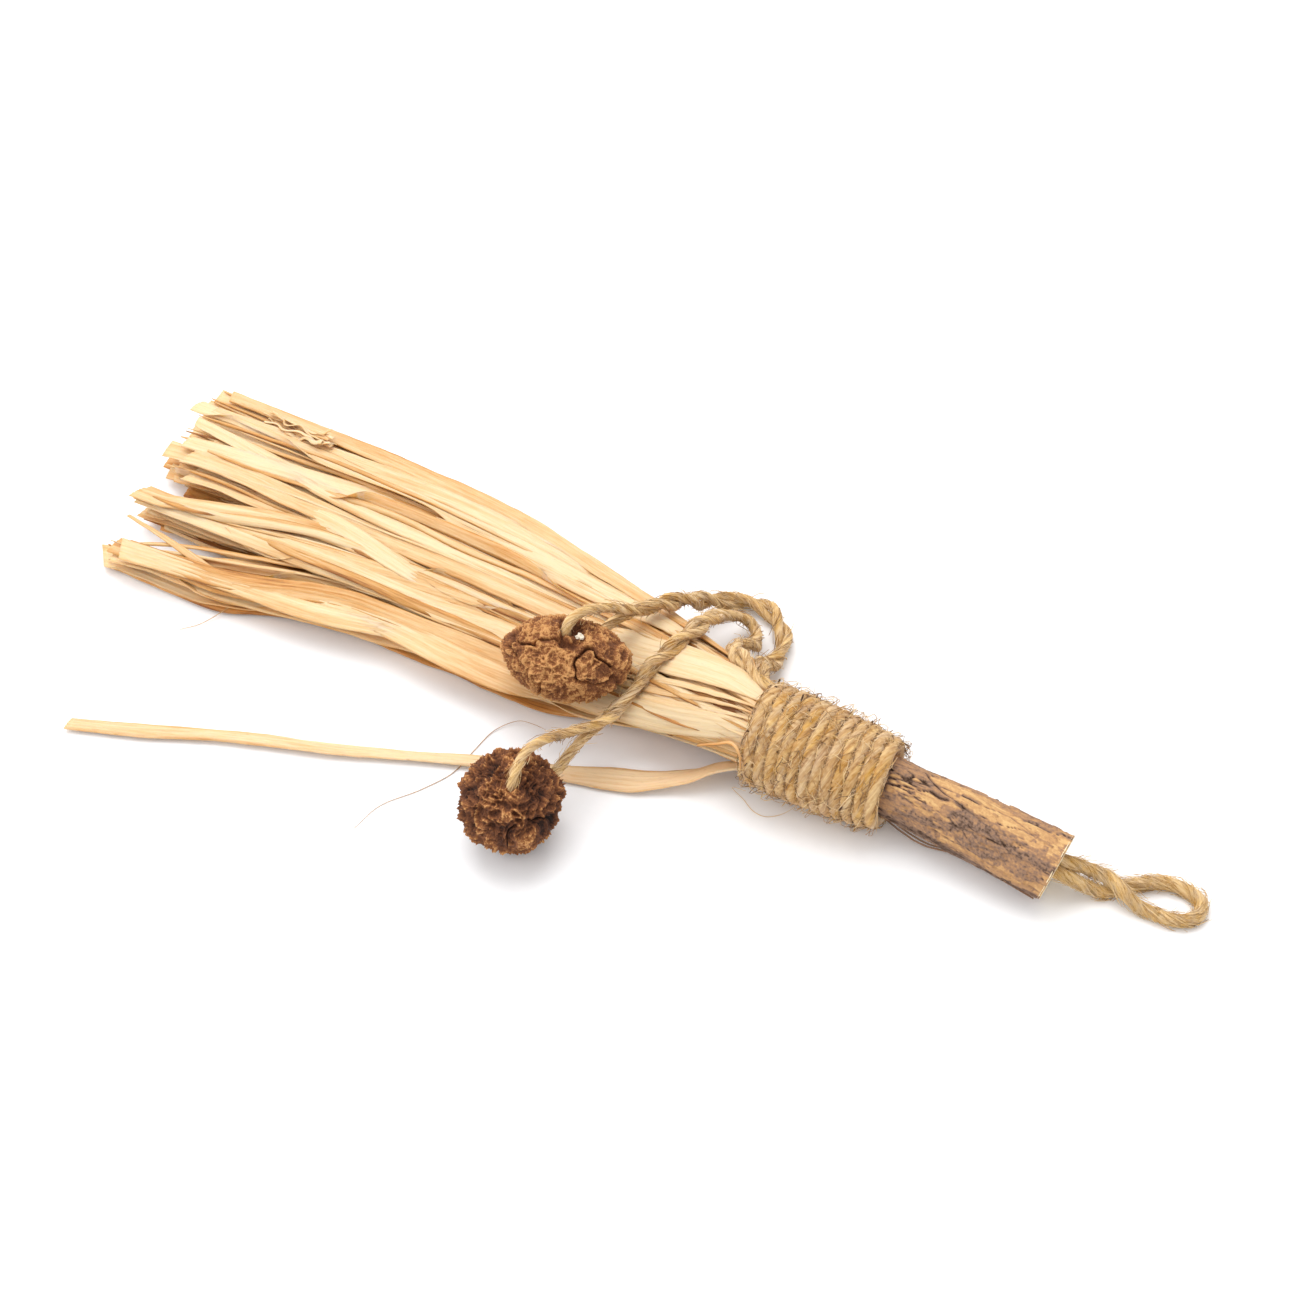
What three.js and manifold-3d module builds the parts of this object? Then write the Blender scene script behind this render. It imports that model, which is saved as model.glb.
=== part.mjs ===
// A small hand-made whisk. A short length of branch, with its bark on, is the handle. Raffia strips
// lie round its inner end and a jute twine wrap binds them, so they open out flat as a fan. A jute
// hanging loop comes out of the sawn end, and two dried galls hang from doubled jute cords that are
// tucked under the wrap.
//
// Millimetres, +Z up. The modelling frame stands under the mouth of the wrap: the handle runs along
// +X, the raffia along -X, and the surface that the whisk lies on is z = 0. The whole group is then
// moved by MOUTH_PLACE, so that the origin is the bottom centre of the whisk's own box.

import * as THREE from 'three';
import { mergeVertices } from 'three/addons/utils/BufferGeometryUtils.js';
import Module from 'manifold-3d';

const wasm = await Module();
wasm.setup();

// Driving dimensions.
const MOUTH_PLACE = new THREE.Vector3(40.84, 7.88, 0);  // the wrap's mouth in the finished frame
const AXIS_HEIGHT = 11.45;       // height of the handle's axis at the mouth
const AXIS_DROP = 0.062;         // how much the axis falls for each millimetre along +X
const CLEARANCE = 0.3;           // gap round a cord that lies in a hole or a channel

const STICK_ROOT = 4;            // the stick's hidden inner end
const STICK_END = 67.2;          // its sawn end, on the axis
const STICK_SIDES = 24;
const STICK_STATIONS = 13;
const STICK_RADIUS_ROOT = 6.3;
const STICK_RADIUS_END = 7.15;
const SAW_NORMAL = new THREE.Vector3(0.978, -0.048, -0.203).normalize();

const WRAP_SIDES = 32;
const WRAP_BORE = 8.9;           // radius inside the wrap, round the raffia

const STRIP_THICK = 0.25;
const FAN_LENGTH = 147;          // from the mouth to the cut tips
const FAN_OPEN = 0.34;           // share of the length over which the round bundle falls flat
const STRIP_ROOT = 23;           // where the strips end inside the wrap

const LOOP_TWINE = 2.5;          // diameter of the hanging loop's twine
const CORD_TWINE = 1.9;          // diameter of the gall cords' twine
const PAIR_SPACING = 2.24;       // between the two strands of a doubled cord
const CORD_SIDES = 8;
const CHANNEL_RADIUS = 8.75;     // from the handle's axis to a strand under the wrap
const STRAIGHT_PAIR = 9;         // length beside the wrap over which a pair doesn't twist

// Finishes.
const BARK = { color: 0x9a7450, roughness: 0.85, metalness: 0 };
const JUTE = { color: 0xb5935f, roughness: 0.95, metalness: 0 };
const RAFFIA = { color: 0xe9cf9a, roughness: 0.6, metalness: 0 };
const GALL = { color: 0x6b3d1f, roughness: 0.9, metalness: 0 };

const { smoothstep, lerp, clamp, degToRad } = THREE.MathUtils;

const body = new THREE.Group();    // the whisk itself
const cordage = new THREE.Group(); // the loop, the gall cords and the galls

function addMesh(group, name, geometry, finish) {
  const mesh = new THREE.Mesh(geometry, new THREE.MeshStandardMaterial(finish));
  mesh.name = name;
  group.add(mesh);
  return mesh;
}

// Solids --------------------------------------------------------------------------------------

// A closed skin over a row of rings that all have the same number of points. The rings run
// anticlockwise seen from the last one looking back, and each end is closed by a fan. The two
// broad faces of a thin strip are split along the same diagonal, so they never meet in a twist.
function ringSolid(rings) {
  const sides = rings[0].length;
  const points = rings.flat();
  const faces = [];
  for (let ring = 0; ring < rings.length - 1; ring += 1) {
    for (let side = 0; side < sides; side += 1) {
      const a = ring * sides + side;
      const b = ring * sides + (side + 1) % sides;
      if (side < sides / 2) faces.push(a, b, b + sides, a, b + sides, a + sides);
      else faces.push(a, b, a + sides, b, b + sides, a + sides);
    }
  }
  const last = (rings.length - 1) * sides;
  for (let side = 1; side < sides - 1; side += 1) {
    faces.push(0, side + 1, side);
    faces.push(last, last + side, last + side + 1);
  }
  const geometry = new THREE.BufferGeometry().setFromPoints(points);
  geometry.setIndex(faces);
  return geometry;
}

function solidOf(geometry) {
  const bare = geometry.clone();
  bare.deleteAttribute('normal');
  bare.deleteAttribute('uv');
  const merged = mergeVertices(bare, 1e-4);
  const vertProperties = new Float32Array(merged.attributes.position.array);
  const triVerts = new Uint32Array(merged.index.array);
  return new wasm.Manifold(new wasm.Mesh({ numProp: 3, vertProperties, triVerts }));
}

function cut(geometry, cutters) {
  let solid = solidOf(geometry);
  for (const cutter of cutters) solid = solid.subtract(solidOf(cutter));
  const mesh = solid.getMesh();
  const result = new THREE.BufferGeometry();
  result.setAttribute('position', new THREE.BufferAttribute(mesh.vertProperties, 3));
  result.setIndex(new THREE.BufferAttribute(mesh.triVerts, 1));
  return result;
}

function polygon(radius, sides) {
  const corners = [];
  for (let side = 0; side < sides; side += 1) {
    const angle = (side / sides) * Math.PI * 2;
    corners.push(new THREE.Vector2(radius * Math.cos(angle), radius * Math.sin(angle)));
  }
  return new THREE.Shape(corners);
}

function tube(route, diameter, steps) {
  const extrudePath = new THREE.CatmullRomCurve3(route, false, 'centripetal');
  return new THREE.ExtrudeGeometry(polygon(diameter / 2, CORD_SIDES), { extrudePath, steps });
}

const points = (rows) => rows.map(([x, y, z]) => new THREE.Vector3(x, y, z));

const axisHeight = (x) => AXIS_HEIGHT - AXIS_DROP * x;

// Handle --------------------------------------------------------------------------------------

// The branch bends a little towards -Y and comes down to the surface at its sawn end.
function stickAxis(share) {
  const x = lerp(STICK_ROOT, STICK_END, share);
  const bend = -2.6 * smoothstep(x, 24, 2 * STICK_END - 24) * 2;
  return new THREE.Vector3(x, bend, axisHeight(x));
}

function stickRadius(share, angle) {
  const swell = lerp(STICK_RADIUS_ROOT, STICK_RADIUS_END, smoothstep(share, 0.35, 0.9));
  const knots = 0.16 * Math.sin(3 * angle + 5 * share) + 0.1 * Math.sin(5 * angle - 9 * share);
  return swell + knots * smoothstep(share, 0.4, 0.5);
}

function stickGeometry(holes) {
  const rings = [];
  for (let station = 0; station <= STICK_STATIONS; station += 1) {
    const share = station / STICK_STATIONS;
    const centre = stickAxis(share);
    const ring = [];
    for (let side = 0; side < STICK_SIDES; side += 1) {
      const angle = (side / STICK_SIDES) * Math.PI * 2;
      const radius = stickRadius(share, angle);
      const across = new THREE.Vector3(0, radius * Math.cos(angle), radius * Math.sin(angle));
      // The saw cut leans: the end ring slides along the axis on to the cut plane.
      const slide = station === STICK_STATIONS ? -across.dot(SAW_NORMAL) / SAW_NORMAL.x : 0;
      ring.push(centre.clone().add(across).add(new THREE.Vector3(slide, 0, 0)));
    }
    rings.push(ring);
  }
  return cut(ringSolid(rings), holes);
}

// Twelve turns of twine, as one barrel-shaped sleeve. Its bore is narrow where the last turns lie
// straight on the bark, and wide round the raffia.
function wrapGeometry(channels) {
  const profile = [
    [WRAP_BORE, 0], [10.5, 0], [10.6, 4], [10.6, 10], [10.3, 17], [9.85, 24],
    [9.5, 27.5], [8.9, 30.3], [7.3, 30.8], [7.0, 30], [7.0, 26], [WRAP_BORE, 24.5],
  ].map(([radius, along]) => new THREE.Vector2(radius, along));
  profile.push(profile[0].clone());
  const geometry = new THREE.LatheGeometry(profile, WRAP_SIDES);
  geometry.rotateZ(-Math.PI / 2);
  return cut(geometry, channels);
}

// Raffia --------------------------------------------------------------------------------------

// Six sheets of strips lie one inside another. Under the wrap each sheet is half a round, on top
// of the stick or below it; past the mouth it opens out and falls flat, and the six become layers.
// wrap and fan give the share of the half round, and of the fan's width, that a sheet covers.
const SHEETS = [
  { name: 'top_outer', side: 1, radius: 8.0, level: 5, count: 6, wrap: [-0.97, 0.36], fan: [-0.96, 0.8] },
  { name: 'top_middle', side: 1, radius: 7.45, level: 4, count: 8, wrap: [-0.97, 0.97], fan: [-0.9, 1] },
  { name: 'top_inner', side: 1, radius: 6.9, level: 3, count: 8, wrap: [-0.97, 0.97], fan: [-1, 0.93] },
  { name: 'low_inner', side: -1, radius: 6.9, level: 2, count: 8, wrap: [-0.97, 0.97], fan: [-0.93, 1] },
  { name: 'low_middle', side: -1, radius: 7.45, level: 1, count: 8, wrap: [-0.97, 0.97], fan: [-1, 0.95] },
  { name: 'low_outer', side: -1, radius: 8.0, level: 0, count: 6, wrap: [-0.3, 0.97], fan: [-0.97, 0.97] },
];
const STRIP_STATIONS = [STRIP_ROOT, 8, 0, -8, -18, -30, -46, -66, -90, -117, -FAN_LENGTH];

// The fan's far edge opens quickly and then runs straight; the near edge stays almost in line with
// the handle and turns out only at the tips.
const farEdge = (t) => 8 + 33 * (1 - Math.exp(-t / 0.36));
const nearEdge = (t) => -8 + 0.6 * smoothstep(t, 0, 0.3) - 7 * t ** 6;

function sheetPoint(sheet, share, x) {
  const t = clamp(-x / FAN_LENGTH, 0, 1.05);
  const open = smoothstep(t, 0, FAN_OPEN);
  const u = lerp(lerp(...sheet.wrap, share), lerp(...sheet.fan, share), open);
  const turn = u * Math.PI / 2;
  const halfWidth = (farEdge(t) - nearEdge(t)) / 2;
  const reach = halfWidth * lerp(sheet.radius / 8, 1, open);
  const y = (farEdge(t) + nearEdge(t)) / 2 + reach * lerp(Math.sin(turn), u, open);
  const round = axisHeight(Math.max(x, 0)) + sheet.side * sheet.radius * Math.cos(turn);
  const crown = (0.25 + 0.35 * sheet.level) * (1 - u * u);
  const ripple = 0.3 * Math.sin(x / 17 + 5 * u + 2 * sheet.level) * (1 - u ** 4);
  const flat = 0.75 + sheet.level * (1.6 - 0.5 * t) + crown + ripple;
  return new THREE.Vector3(x, y, lerp(round, flat, open));
}

// A number from 0 to 1 that is always the same for the same two whole numbers.
function scatter(first, second) {
  const value = Math.sin(first * 127.1 + second * 311.7) * 43758.5453;
  return value - Math.floor(value);
}

function stripGeometry(sheet, index) {
  const seed = index + 10 * sheet.level;
  const middle = (index + 0.5) / sheet.count;
  const widest = lerp(3.2, 5.4, scatter(seed, 1));
  const tip = -FAN_LENGTH + lerp(-3.5, 6, scatter(seed, 2));
  const room = 0.5 / sheet.count;
  const rings = STRIP_STATIONS.map((station) => {
    const x = station === -FAN_LENGTH ? tip : station;
    const t = clamp(-x / FAN_LENGTH, 0, 1);
    const width = lerp(2.5, widest, smoothstep(t, 0.02, 0.3)) * lerp(1, 0.8, smoothstep(t, 0.8, 1));
    const step = 0.01;
    const speed = sheetPoint(sheet, middle - step, x).distanceTo(sheetPoint(sheet, middle + step, x));
    const half = Math.min(width / 2 * (2 * step / speed), room * 0.9);
    const slack = room * 0.95 - half;
    const centre = middle + slack * Math.sin(x / lerp(18, 34, scatter(seed, 3)) + 7 * seed) * t;
    const near = sheetPoint(sheet, centre - half, x);
    const far = sheetPoint(sheet, centre + half, x);
    const across = far.clone().sub(near).normalize();
    const lift = new THREE.Vector3(0, -across.z, across.y).multiplyScalar(STRIP_THICK / 2);
    return [near.clone().sub(lift), near.clone().add(lift), far.clone().add(lift), far.clone().sub(lift)];
  });
  return ringSolid(rings);
}

// One strip has strayed out of the fan and lies on the surface, folded along its length.
const STRAY_ROUTE = points([
  [18, -5.5, 4.8], [7, -5.6, 5.5], [0, -5.6, 5.9], [-5, -7.4, 4.8], [-10, -10.4, 2.6], [-19.5, -15, 0.9],
  [-29, -18.2, 0.8], [-38, -20.9, 0.9], [-53.5, -25.6, 1.2], [-67, -30.4, 1.1], [-81, -35.4, 1.3],
  [-93, -38.8, 1.2], [-104, -42.4, 1.2], [-119, -48, 1.0], [-133.6, -52.8, 0.9],
]);
const STRAY_WIDTHS = [2.2, 2.4, 3.2, 4.0, 5.2, 5.8, 5.0, 3.4, 3.0, 2.7, 3.2, 3.4, 2.7, 3.6, 3.2];
const STRAY_FOLD = 1.1;          // thickness of the folded part on the surface

function strayGeometry() {
  const route = new THREE.CatmullRomCurve3(STRAY_ROUTE, false, 'centripetal');
  const last = STRAY_ROUTE.length - 1;
  const rings = STRAY_ROUTE.map((centre, index) => {
    const along = route.getTangent(index / last);
    const across = new THREE.Vector3(-along.y, along.x, 0).normalize();
    const tuck = 1 - smoothstep(index, 2, 4);
    across.z = 0.9 * tuck;
    across.normalize().multiplyScalar(-STRAY_WIDTHS[index] / 2);
    const thick = lerp(STRAY_FOLD, STRIP_THICK, 1 - smoothstep(index, 4, 7));
    const lift = new THREE.Vector3().crossVectors(across, along).normalize().multiplyScalar(thick / 2);
    return [
      centre.clone().sub(across).sub(lift), centre.clone().sub(across).add(lift),
      centre.clone().add(across).add(lift), centre.clone().add(across).sub(lift),
    ];
  });
  return ringSolid(rings);
}

// Cords ---------------------------------------------------------------------------------------

// The hanging loop leaves the sawn end, its strands cross once, and it opens into an oval eye.
const LOOP_ROUTE = points([
  [61.0, -0.6, 7.4], [64.5, -0.7, 7.4], [68.0, -0.6, 7.2], [71.0, 0.8, 5.6], [73.8, 2.1, 3.8],
  [76.6, 2.1, 3.5], [79.4, 0.9, 3.9], [82.0, -0.2, 2.8], [84.8, -0.5, 1.6], [88.0, -0.6, 1.4],
  [91.4, -0.6, 1.4], [94.4, 0.6, 1.4], [96.2, 3.0, 1.4], [95.6, 5.6, 1.4], [93.0, 7.2, 1.4],
  [89.6, 7.6, 1.4], [86.0, 6.7, 1.4], [82.6, 4.7, 1.4], [79.6, 2.4, 1.3], [76.8, -0.2, 1.3],
  [73.8, -1.0, 2.5], [71.0, -2.6, 4.9], [68.0, -3.4, 6.8], [64.5, -3.5, 7.2], [61.0, -3.4, 7.3],
]);

// A doubled cord: two strands run side by side, twisting loosely, from the wrap to the gall, where
// the twine goes round the top of the gall, in at a hole and out at its far side.
// run: middle of the pair, from the wrap. bight: the twine round and through the gall, from the
// gall's centre. clock: angle of the pair under the wrap, from straight up towards +Y. twists: half
// turns that the pair makes.
const CORDS = [
  {
    name: 'gall_cord_far',
    gall: [-40.6, -5.0, 19.0],
    clock: 77.9,
    twists: 7,
    steps: 64,
    run: points([
      [-2.3, 9.7, 13.8], [-5.6, 14.4, 12.4], [-7.0, 19.4, 6.6], [-6.2, 24.4, 2.7], [-7.4, 31.0, 2.3],
      [-12.4, 36.0, 2.3], [-19.0, 36.8, 2.3], [-24.2, 33.0, 3.6], [-27.0, 27.6, 8.4], [-29.2, 21.6, 13.6],
      [-31.4, 16.2, 16.8],
    ]),
    bight: points([
      [4.4, 13.1, 4.0], [2.7, 8.9, 7.6], [1.1, 5.5, 9.8], [-0.5, 2.3, 9.2], [-0.9, 0.9, 5.0],
      [-0.3, 2.1, 1.2], [1.3, 5.9, -0.6], [2.9, 10.3, -1.0], [4.7, 14.7, -0.8],
    ]),
  },
  {
    name: 'gall_cord_near',
    gall: [-37.5, -37.0, 10.9],
    clock: 48.4,
    twists: 10,
    steps: 72,
    run: points([
      [-2.5, 7.1, 18.1], [-8.0, 10.1, 18.6], [-12.4, 15.8, 14.2], [-12.2, 21.0, 8.4], [-11.6, 26.6, 4.2],
      [-14.4, 31.0, 3.2], [-18.4, 29.4, 5.6], [-19.6, 23.6, 11.6], [-20.4, 17.0, 16.2], [-22.2, 9.0, 17.6],
      [-24.6, 2.4, 17.1], [-26.2, -4.2, 14.4], [-28.6, -11.4, 12.8],
    ]),
    bight: points([
      [4.5, 16.4, 5.7], [2.5, 9.6, 10.3], [1.5, 4.0, 12.6], [1.5, -1.2, 11.8], [1.7, -3.2, 7.3],
      [2.1, -1.9, 2.9], [2.9, 1.8, 0.6], [3.9, 6.6, -0.2], [4.9, 11.4, 0], [6.1, 16.8, 1.4],
    ]),
  },
];
const TUCK = 4;                  // how far a strand reaches in under the wrap
const RUN_POINTS = 13;           // points on each strand between the wrap and the gall

function tuckedPair(cord) {
  const clock = degToRad(cord.clock);
  const y = CHANNEL_RADIUS * Math.sin(clock);
  const rise = CHANNEL_RADIUS * Math.cos(clock);
  return points([[TUCK, y, axisHeight(TUCK) + rise], [0, y, axisHeight(0) + rise]]);
}

// Both strands of the doubled run: the pair's middle line, and an arm that turns round it.
function pairStrands(cord) {
  const line = new THREE.CatmullRomCurve3([...tuckedPair(cord), ...cord.run], false, 'centripetal');
  const length = line.getLength();
  const strands = [[], []];
  for (let step = 0; step <= RUN_POINTS; step += 1) {
    const share = step / RUN_POINTS;
    const centre = line.getPointAt(share);
    const along = line.getTangentAt(share);
    const level = new THREE.Vector3(0, 0, 1).cross(along).normalize();
    const upright = along.clone().cross(level);
    const twisted = Math.max(share * length - STRAIGHT_PAIR, 0) / (length - STRAIGHT_PAIR);
    const angle = degToRad(cord.clock) + twisted * cord.twists * Math.PI;
    const arm = level.multiplyScalar(Math.cos(angle)).addScaledVector(upright, Math.sin(angle));
    arm.multiplyScalar(PAIR_SPACING / 2);
    strands[0].push(centre.clone().add(arm));
    strands[1].push(centre.clone().sub(arm));
  }
  return strands;
}

function cordRoute(cord) {
  const [out, back] = pairStrands(cord);
  const centre = new THREE.Vector3(...cord.gall);
  return [...out, ...cord.bight.map((spot) => spot.clone().add(centre)), ...back.reverse()];
}

// The room that a cord needs where it lies inside another piece, measured across its flats.
function fattened(route, diameter) {
  const room = (diameter + 2 * CLEARANCE) / Math.cos(Math.PI / CORD_SIDES);
  return tube(route, room, 2 * route.length - 2);
}

function channelCutters(cord) {
  return pairStrands(cord).map((strand) => {
    const end = strand[0].clone();
    const inner = end.clone().add(new THREE.Vector3(1, 0, -AXIS_DROP).multiplyScalar(CLEARANCE));
    return fattened([inner, end, ...strand.slice(1, 4)], CORD_TWINE);
  });
}

// Galls ---------------------------------------------------------------------------------------

const GALLS = [
  { name: 'gall_far', half: [13.6, 9.4, 8.4], turn: 13, seed: 2, cord: CORDS[0] },
  { name: 'gall_near', half: [11.0, 11.2, 10.9], turn: 0, seed: 5, cord: CORDS[1] },
];
const GALL_DETAIL = 4;

function gallGeometry({ half, turn, seed, cord }) {
  const ball = new THREE.IcosahedronGeometry(1, GALL_DETAIL);
  const spots = ball.attributes.position;
  const spot = new THREE.Vector3();
  for (let index = 0; index < spots.count; index += 1) {
    spot.fromBufferAttribute(spots, index);
    const lobes = Math.sin(3 * spot.x + seed) * Math.sin(3.4 * spot.y + 2 * seed) * Math.cos(2.6 * spot.z);
    const knobs = Math.sin(7 * spot.x - seed) * Math.sin(6 * spot.y + seed) * Math.sin(6.5 * spot.z + seed);
    spot.multiplyScalar(0.97 + 0.05 * lobes + 0.03 * knobs);
    spots.setXYZ(index, spot.x, spot.y, spot.z);
  }
  ball.scale(...half);
  ball.rotateZ(degToRad(turn));
  const centre = new THREE.Vector3(...cord.gall);
  const passing = cordRoute(cord).slice(RUN_POINTS - 1, RUN_POINTS + cord.bight.length + 3);
  return cut(ball, [fattened(passing.map((spot) => spot.sub(centre)), CORD_TWINE)]);
}

// Assembly ------------------------------------------------------------------------------------

const loopHoles = [LOOP_ROUTE.slice(0, 6), LOOP_ROUTE.slice(-6).reverse()].map((end) => {
  const inner = end[0].clone().add(new THREE.Vector3(-CLEARANCE, 0, 0));
  return fattened([inner, ...end.slice(1)], LOOP_TWINE);
});
addMesh(body, 'stick', stickGeometry(loopHoles), BARK);

const wrapPlace = new THREE.Vector3(0, 0, AXIS_HEIGHT);
const wrapTilt = Math.atan(AXIS_DROP);
const channels = CORDS.flatMap(channelCutters).map((cutter) => {
  cutter.translate(0, 0, -AXIS_HEIGHT);
  return cutter.rotateY(-wrapTilt);
});
const wrap = addMesh(body, 'twine_wrap', wrapGeometry(channels), JUTE);
wrap.position.copy(wrapPlace);
wrap.rotation.y = wrapTilt;

for (const sheet of SHEETS) {
  for (let index = 0; index < sheet.count; index += 1) {
    addMesh(body, `raffia_${sheet.name}_${index + 1}`, stripGeometry(sheet, index), RAFFIA);
  }
}
addMesh(body, 'raffia_stray', strayGeometry(), RAFFIA);

addMesh(cordage, 'hanging_loop', tube(LOOP_ROUTE, LOOP_TWINE, 40), JUTE);
for (const cord of CORDS) {
  addMesh(cordage, cord.name, tube(cordRoute(cord), CORD_TWINE, cord.steps), JUTE);
}
for (const gall of GALLS) {
  const mesh = addMesh(cordage, gall.name, gallGeometry(gall), GALL);
  mesh.position.set(...gall.cord.gall);
}

const whisk = new THREE.Group();
whisk.add(body, cordage);
whisk.position.copy(MOUTH_PLACE);

export default whisk;
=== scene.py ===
"""A raffia whisk: a bark stick handle, a jute twine wrap, a flat fan of raffia, a hanging loop and two galls.

Every shape is worked out in millimetres in the whisk's own frame, which stands under the mouth of the
wrap: the handle runs along +X, the raffia along -X, and the surface is z = 0. to_row() then takes it to
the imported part's frame, in metres.
"""

import math
from itertools import product

import bpy
import numpy as np
from bpy.props import FloatProperty, FloatVectorProperty, IntProperty, PointerProperty
from mathutils import Matrix, Vector


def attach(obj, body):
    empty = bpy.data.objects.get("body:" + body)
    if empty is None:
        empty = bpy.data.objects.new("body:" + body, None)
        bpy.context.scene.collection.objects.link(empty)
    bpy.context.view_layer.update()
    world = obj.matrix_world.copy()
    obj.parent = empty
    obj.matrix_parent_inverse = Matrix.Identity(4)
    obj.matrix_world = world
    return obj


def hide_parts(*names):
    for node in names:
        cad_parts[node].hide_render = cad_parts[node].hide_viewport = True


bl_info = {
    "name": "Raffia whisk",
    "version": (1, 0, 0),
    "blender": (4, 5, 0),
    "location": "View3D > Sidebar > Whisk",
    "description": "Makes a raffia whisk with a bark stick handle, jute twine and two dried galls",
    "category": "Object",
}

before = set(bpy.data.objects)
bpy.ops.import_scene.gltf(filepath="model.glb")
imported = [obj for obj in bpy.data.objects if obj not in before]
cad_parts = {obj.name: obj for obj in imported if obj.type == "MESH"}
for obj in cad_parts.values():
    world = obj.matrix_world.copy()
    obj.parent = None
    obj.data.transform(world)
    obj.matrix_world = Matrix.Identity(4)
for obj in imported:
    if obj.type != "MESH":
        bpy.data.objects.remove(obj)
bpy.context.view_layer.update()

MM = 0.001
MOUTH_PLACE = np.array([40.84, 7.88, 0.0])  # the wrap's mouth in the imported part's frame
AXIS_HEIGHT = 11.45  # height of the handle's axis at the mouth
AXIS_DROP = 0.062  # how much the axis falls for each millimetre along +X
FLOOR_GAP = 0.06  # nothing lies lower than this
FIBRE_STEPS = 6  # points along one jute fibre

# The branch.
STICK_ROOT = 4.0
STICK_END = 67.2
STICK_RADIUS_ROOT = 6.3
STICK_RADIUS_END = 7.15
SAW_NORMAL = np.array([0.978, -0.048, -0.203])

# The wrap: outer radius at distances from its mouth.
WRAP_ALONG = [0.0, 1.2, 4.0, 10.0, 17.0, 24.0, 27.5, 30.3]
WRAP_RADIUS = [9.9, 10.5, 10.6, 10.6, 10.3, 9.85, 9.5, 8.95]
WRAP_TURNS = 12
WRAP_START = 1.15  # where the middle of the first turn lies
WRAP_END = 29.4
WRAP_LAY = 19.0  # length of one turn of the twine's plies
WRAP_HAIRS = 3900  # loose hairs across the turns
WRAP_HUSKS = 110  # dark bits among them
SLEEVE_ENDS = (1.7, 28.2)  # the sleeve under the turns, and how deep it lies below their outside
SLEEVE_DEPTH = 1.1

# The fan: six sheets of strips, from the highest to the lowest. Each has the side of the stick that it starts
# on, its radius under the wrap, its level, its number of strips, and the shares of the half round and of the
# fan's width that it covers.
FAN_LENGTH = 147.0  # from the wrap's mouth to the tips
FAN_OPEN = 0.34  # share of the length over which the bundle opens into the flat fan
STRIP_ROOT = 14.0  # x where the strips begin, inside the wrap
SHEETS = {
    "top_outer": (1, 8.0, 5, 6, (-0.97, 0.36), (-0.96, 0.8)),
    "top_middle": (1, 7.45, 4, 8, (-0.97, 0.97), (-0.9, 1.0)),
    "top_inner": (1, 6.9, 3, 8, (-0.97, 0.97), (-1.0, 0.93)),
    "low_inner": (-1, 6.9, 2, 8, (-0.97, 0.97), (-0.93, 1.0)),
    "low_middle": (-1, 7.45, 1, 8, (-0.97, 0.97), (-1.0, 0.95)),
    "low_outer": (-1, 8.0, 0, 6, (-0.3, 0.97), (-0.97, 0.97)),
}
STRAY_ROUTE = [
    (9, -5.6, 5.4), (0, -5.6, 5.9), (-5, -7.4, 4.8), (-10, -10.4, 2.6), (-19.5, -15, 0.9),
    (-29, -18.2, 0.8), (-38, -20.9, 0.9), (-53.5, -25.6, 1.2), (-67, -30.4, 1.1), (-81, -35.4, 1.3),
    (-93, -38.8, 1.2), (-104, -42.4, 1.2), (-119, -48, 1.0), (-133.6, -52.8, 0.9),
]
STRAY_WIDTHS = [2.4, 3.2, 4.0, 5.2, 5.8, 5.0, 3.4, 3.0, 2.7, 3.2, 3.4, 2.7, 3.6, 3.2]
# The splits near the fan's tips: y, the distance from the mouth where each begins, and the push to each side.
SPLITS = [(-3.4, 90.0, 6.6), (8.8, 102.0, 5.6)]
SPLIT_OPENING = 36.0  # length over which a split opens to its full width
STRIP_ROWS = 118  # rings along a strip
# Tones of the strips, picked strip by strip, and the painted shade that each sheet adds, from the lowest to
# the top one: the lower sheets are darker, as shade under the upper ones.
STRIP_TONES = (0.22, 0.1, 0.34, 0.5, 0.16, 0.28, 0.44, 0.12)
SHEET_PAINTED_SHADE = (0.34, 0.34, 0.26, 0.14, 0.04, 0.0)
FOLDED_SHARE = 0.28  # share of the strips that are folded over lengthwise
FOLD_ANGLE = 2.4  # how far such a strip's side turns over, in radians
# The crinkled shred near the tips: its two ends and its ribbons.
CRINKLE_ENDS = [(-117.5, 33.0, 9.0), (-133.5, 36.0, 7.2)]
CRINKLE_RIBBONS = 11

# The sliver of bark that peels off under the stick, and its strands: seed, shift and width.
SLIVER_ROUTE = [
    (29.3, -4.3, 5.5), (34.9, -5.2, 3.2), (39.9, -5.2, 1.6), (45.5, -4.7, 1.8), (53.4, -5.8, 2.0),
    (59.4, -7.5, 2.9), (65.0, -8.6, 2.9),
]
SLIVER_STRANDS = [(1, (0, 0, 0), 0.34), (2, (0.6, 0.35, 0.4), 0.3)]
BARK_ROUND = 6.9  # radius on which the bark's pattern is worked out
BARK_SHOWS = (24.5, 27.0)  # x over which the bark rises from under the wrap
STICK_CORNERS = 176  # round the branch
PAINTED_SHADE_SIDE = math.radians(202)  # where the lower side is darkened all along: a band of painted shade
PAINTED_SHADE_BAND = (0.1, 0.28)  # half its width, in radians, and where it has faded out
LOOP_HOLE = [(-0.6, 7.25), (-2.0, 7.2), (-3.4, 7.15)]  # y and z of the points that the loop's hole runs over
LOOP_HOLE_RADIUS = 1.55

# The hanging loop and the two doubled cords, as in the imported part.
LOOP_TWINE = 2.5
CORD_TWINE = 1.9
TWINE_STEP = 0.35  # distance between two rings of a twine
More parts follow.
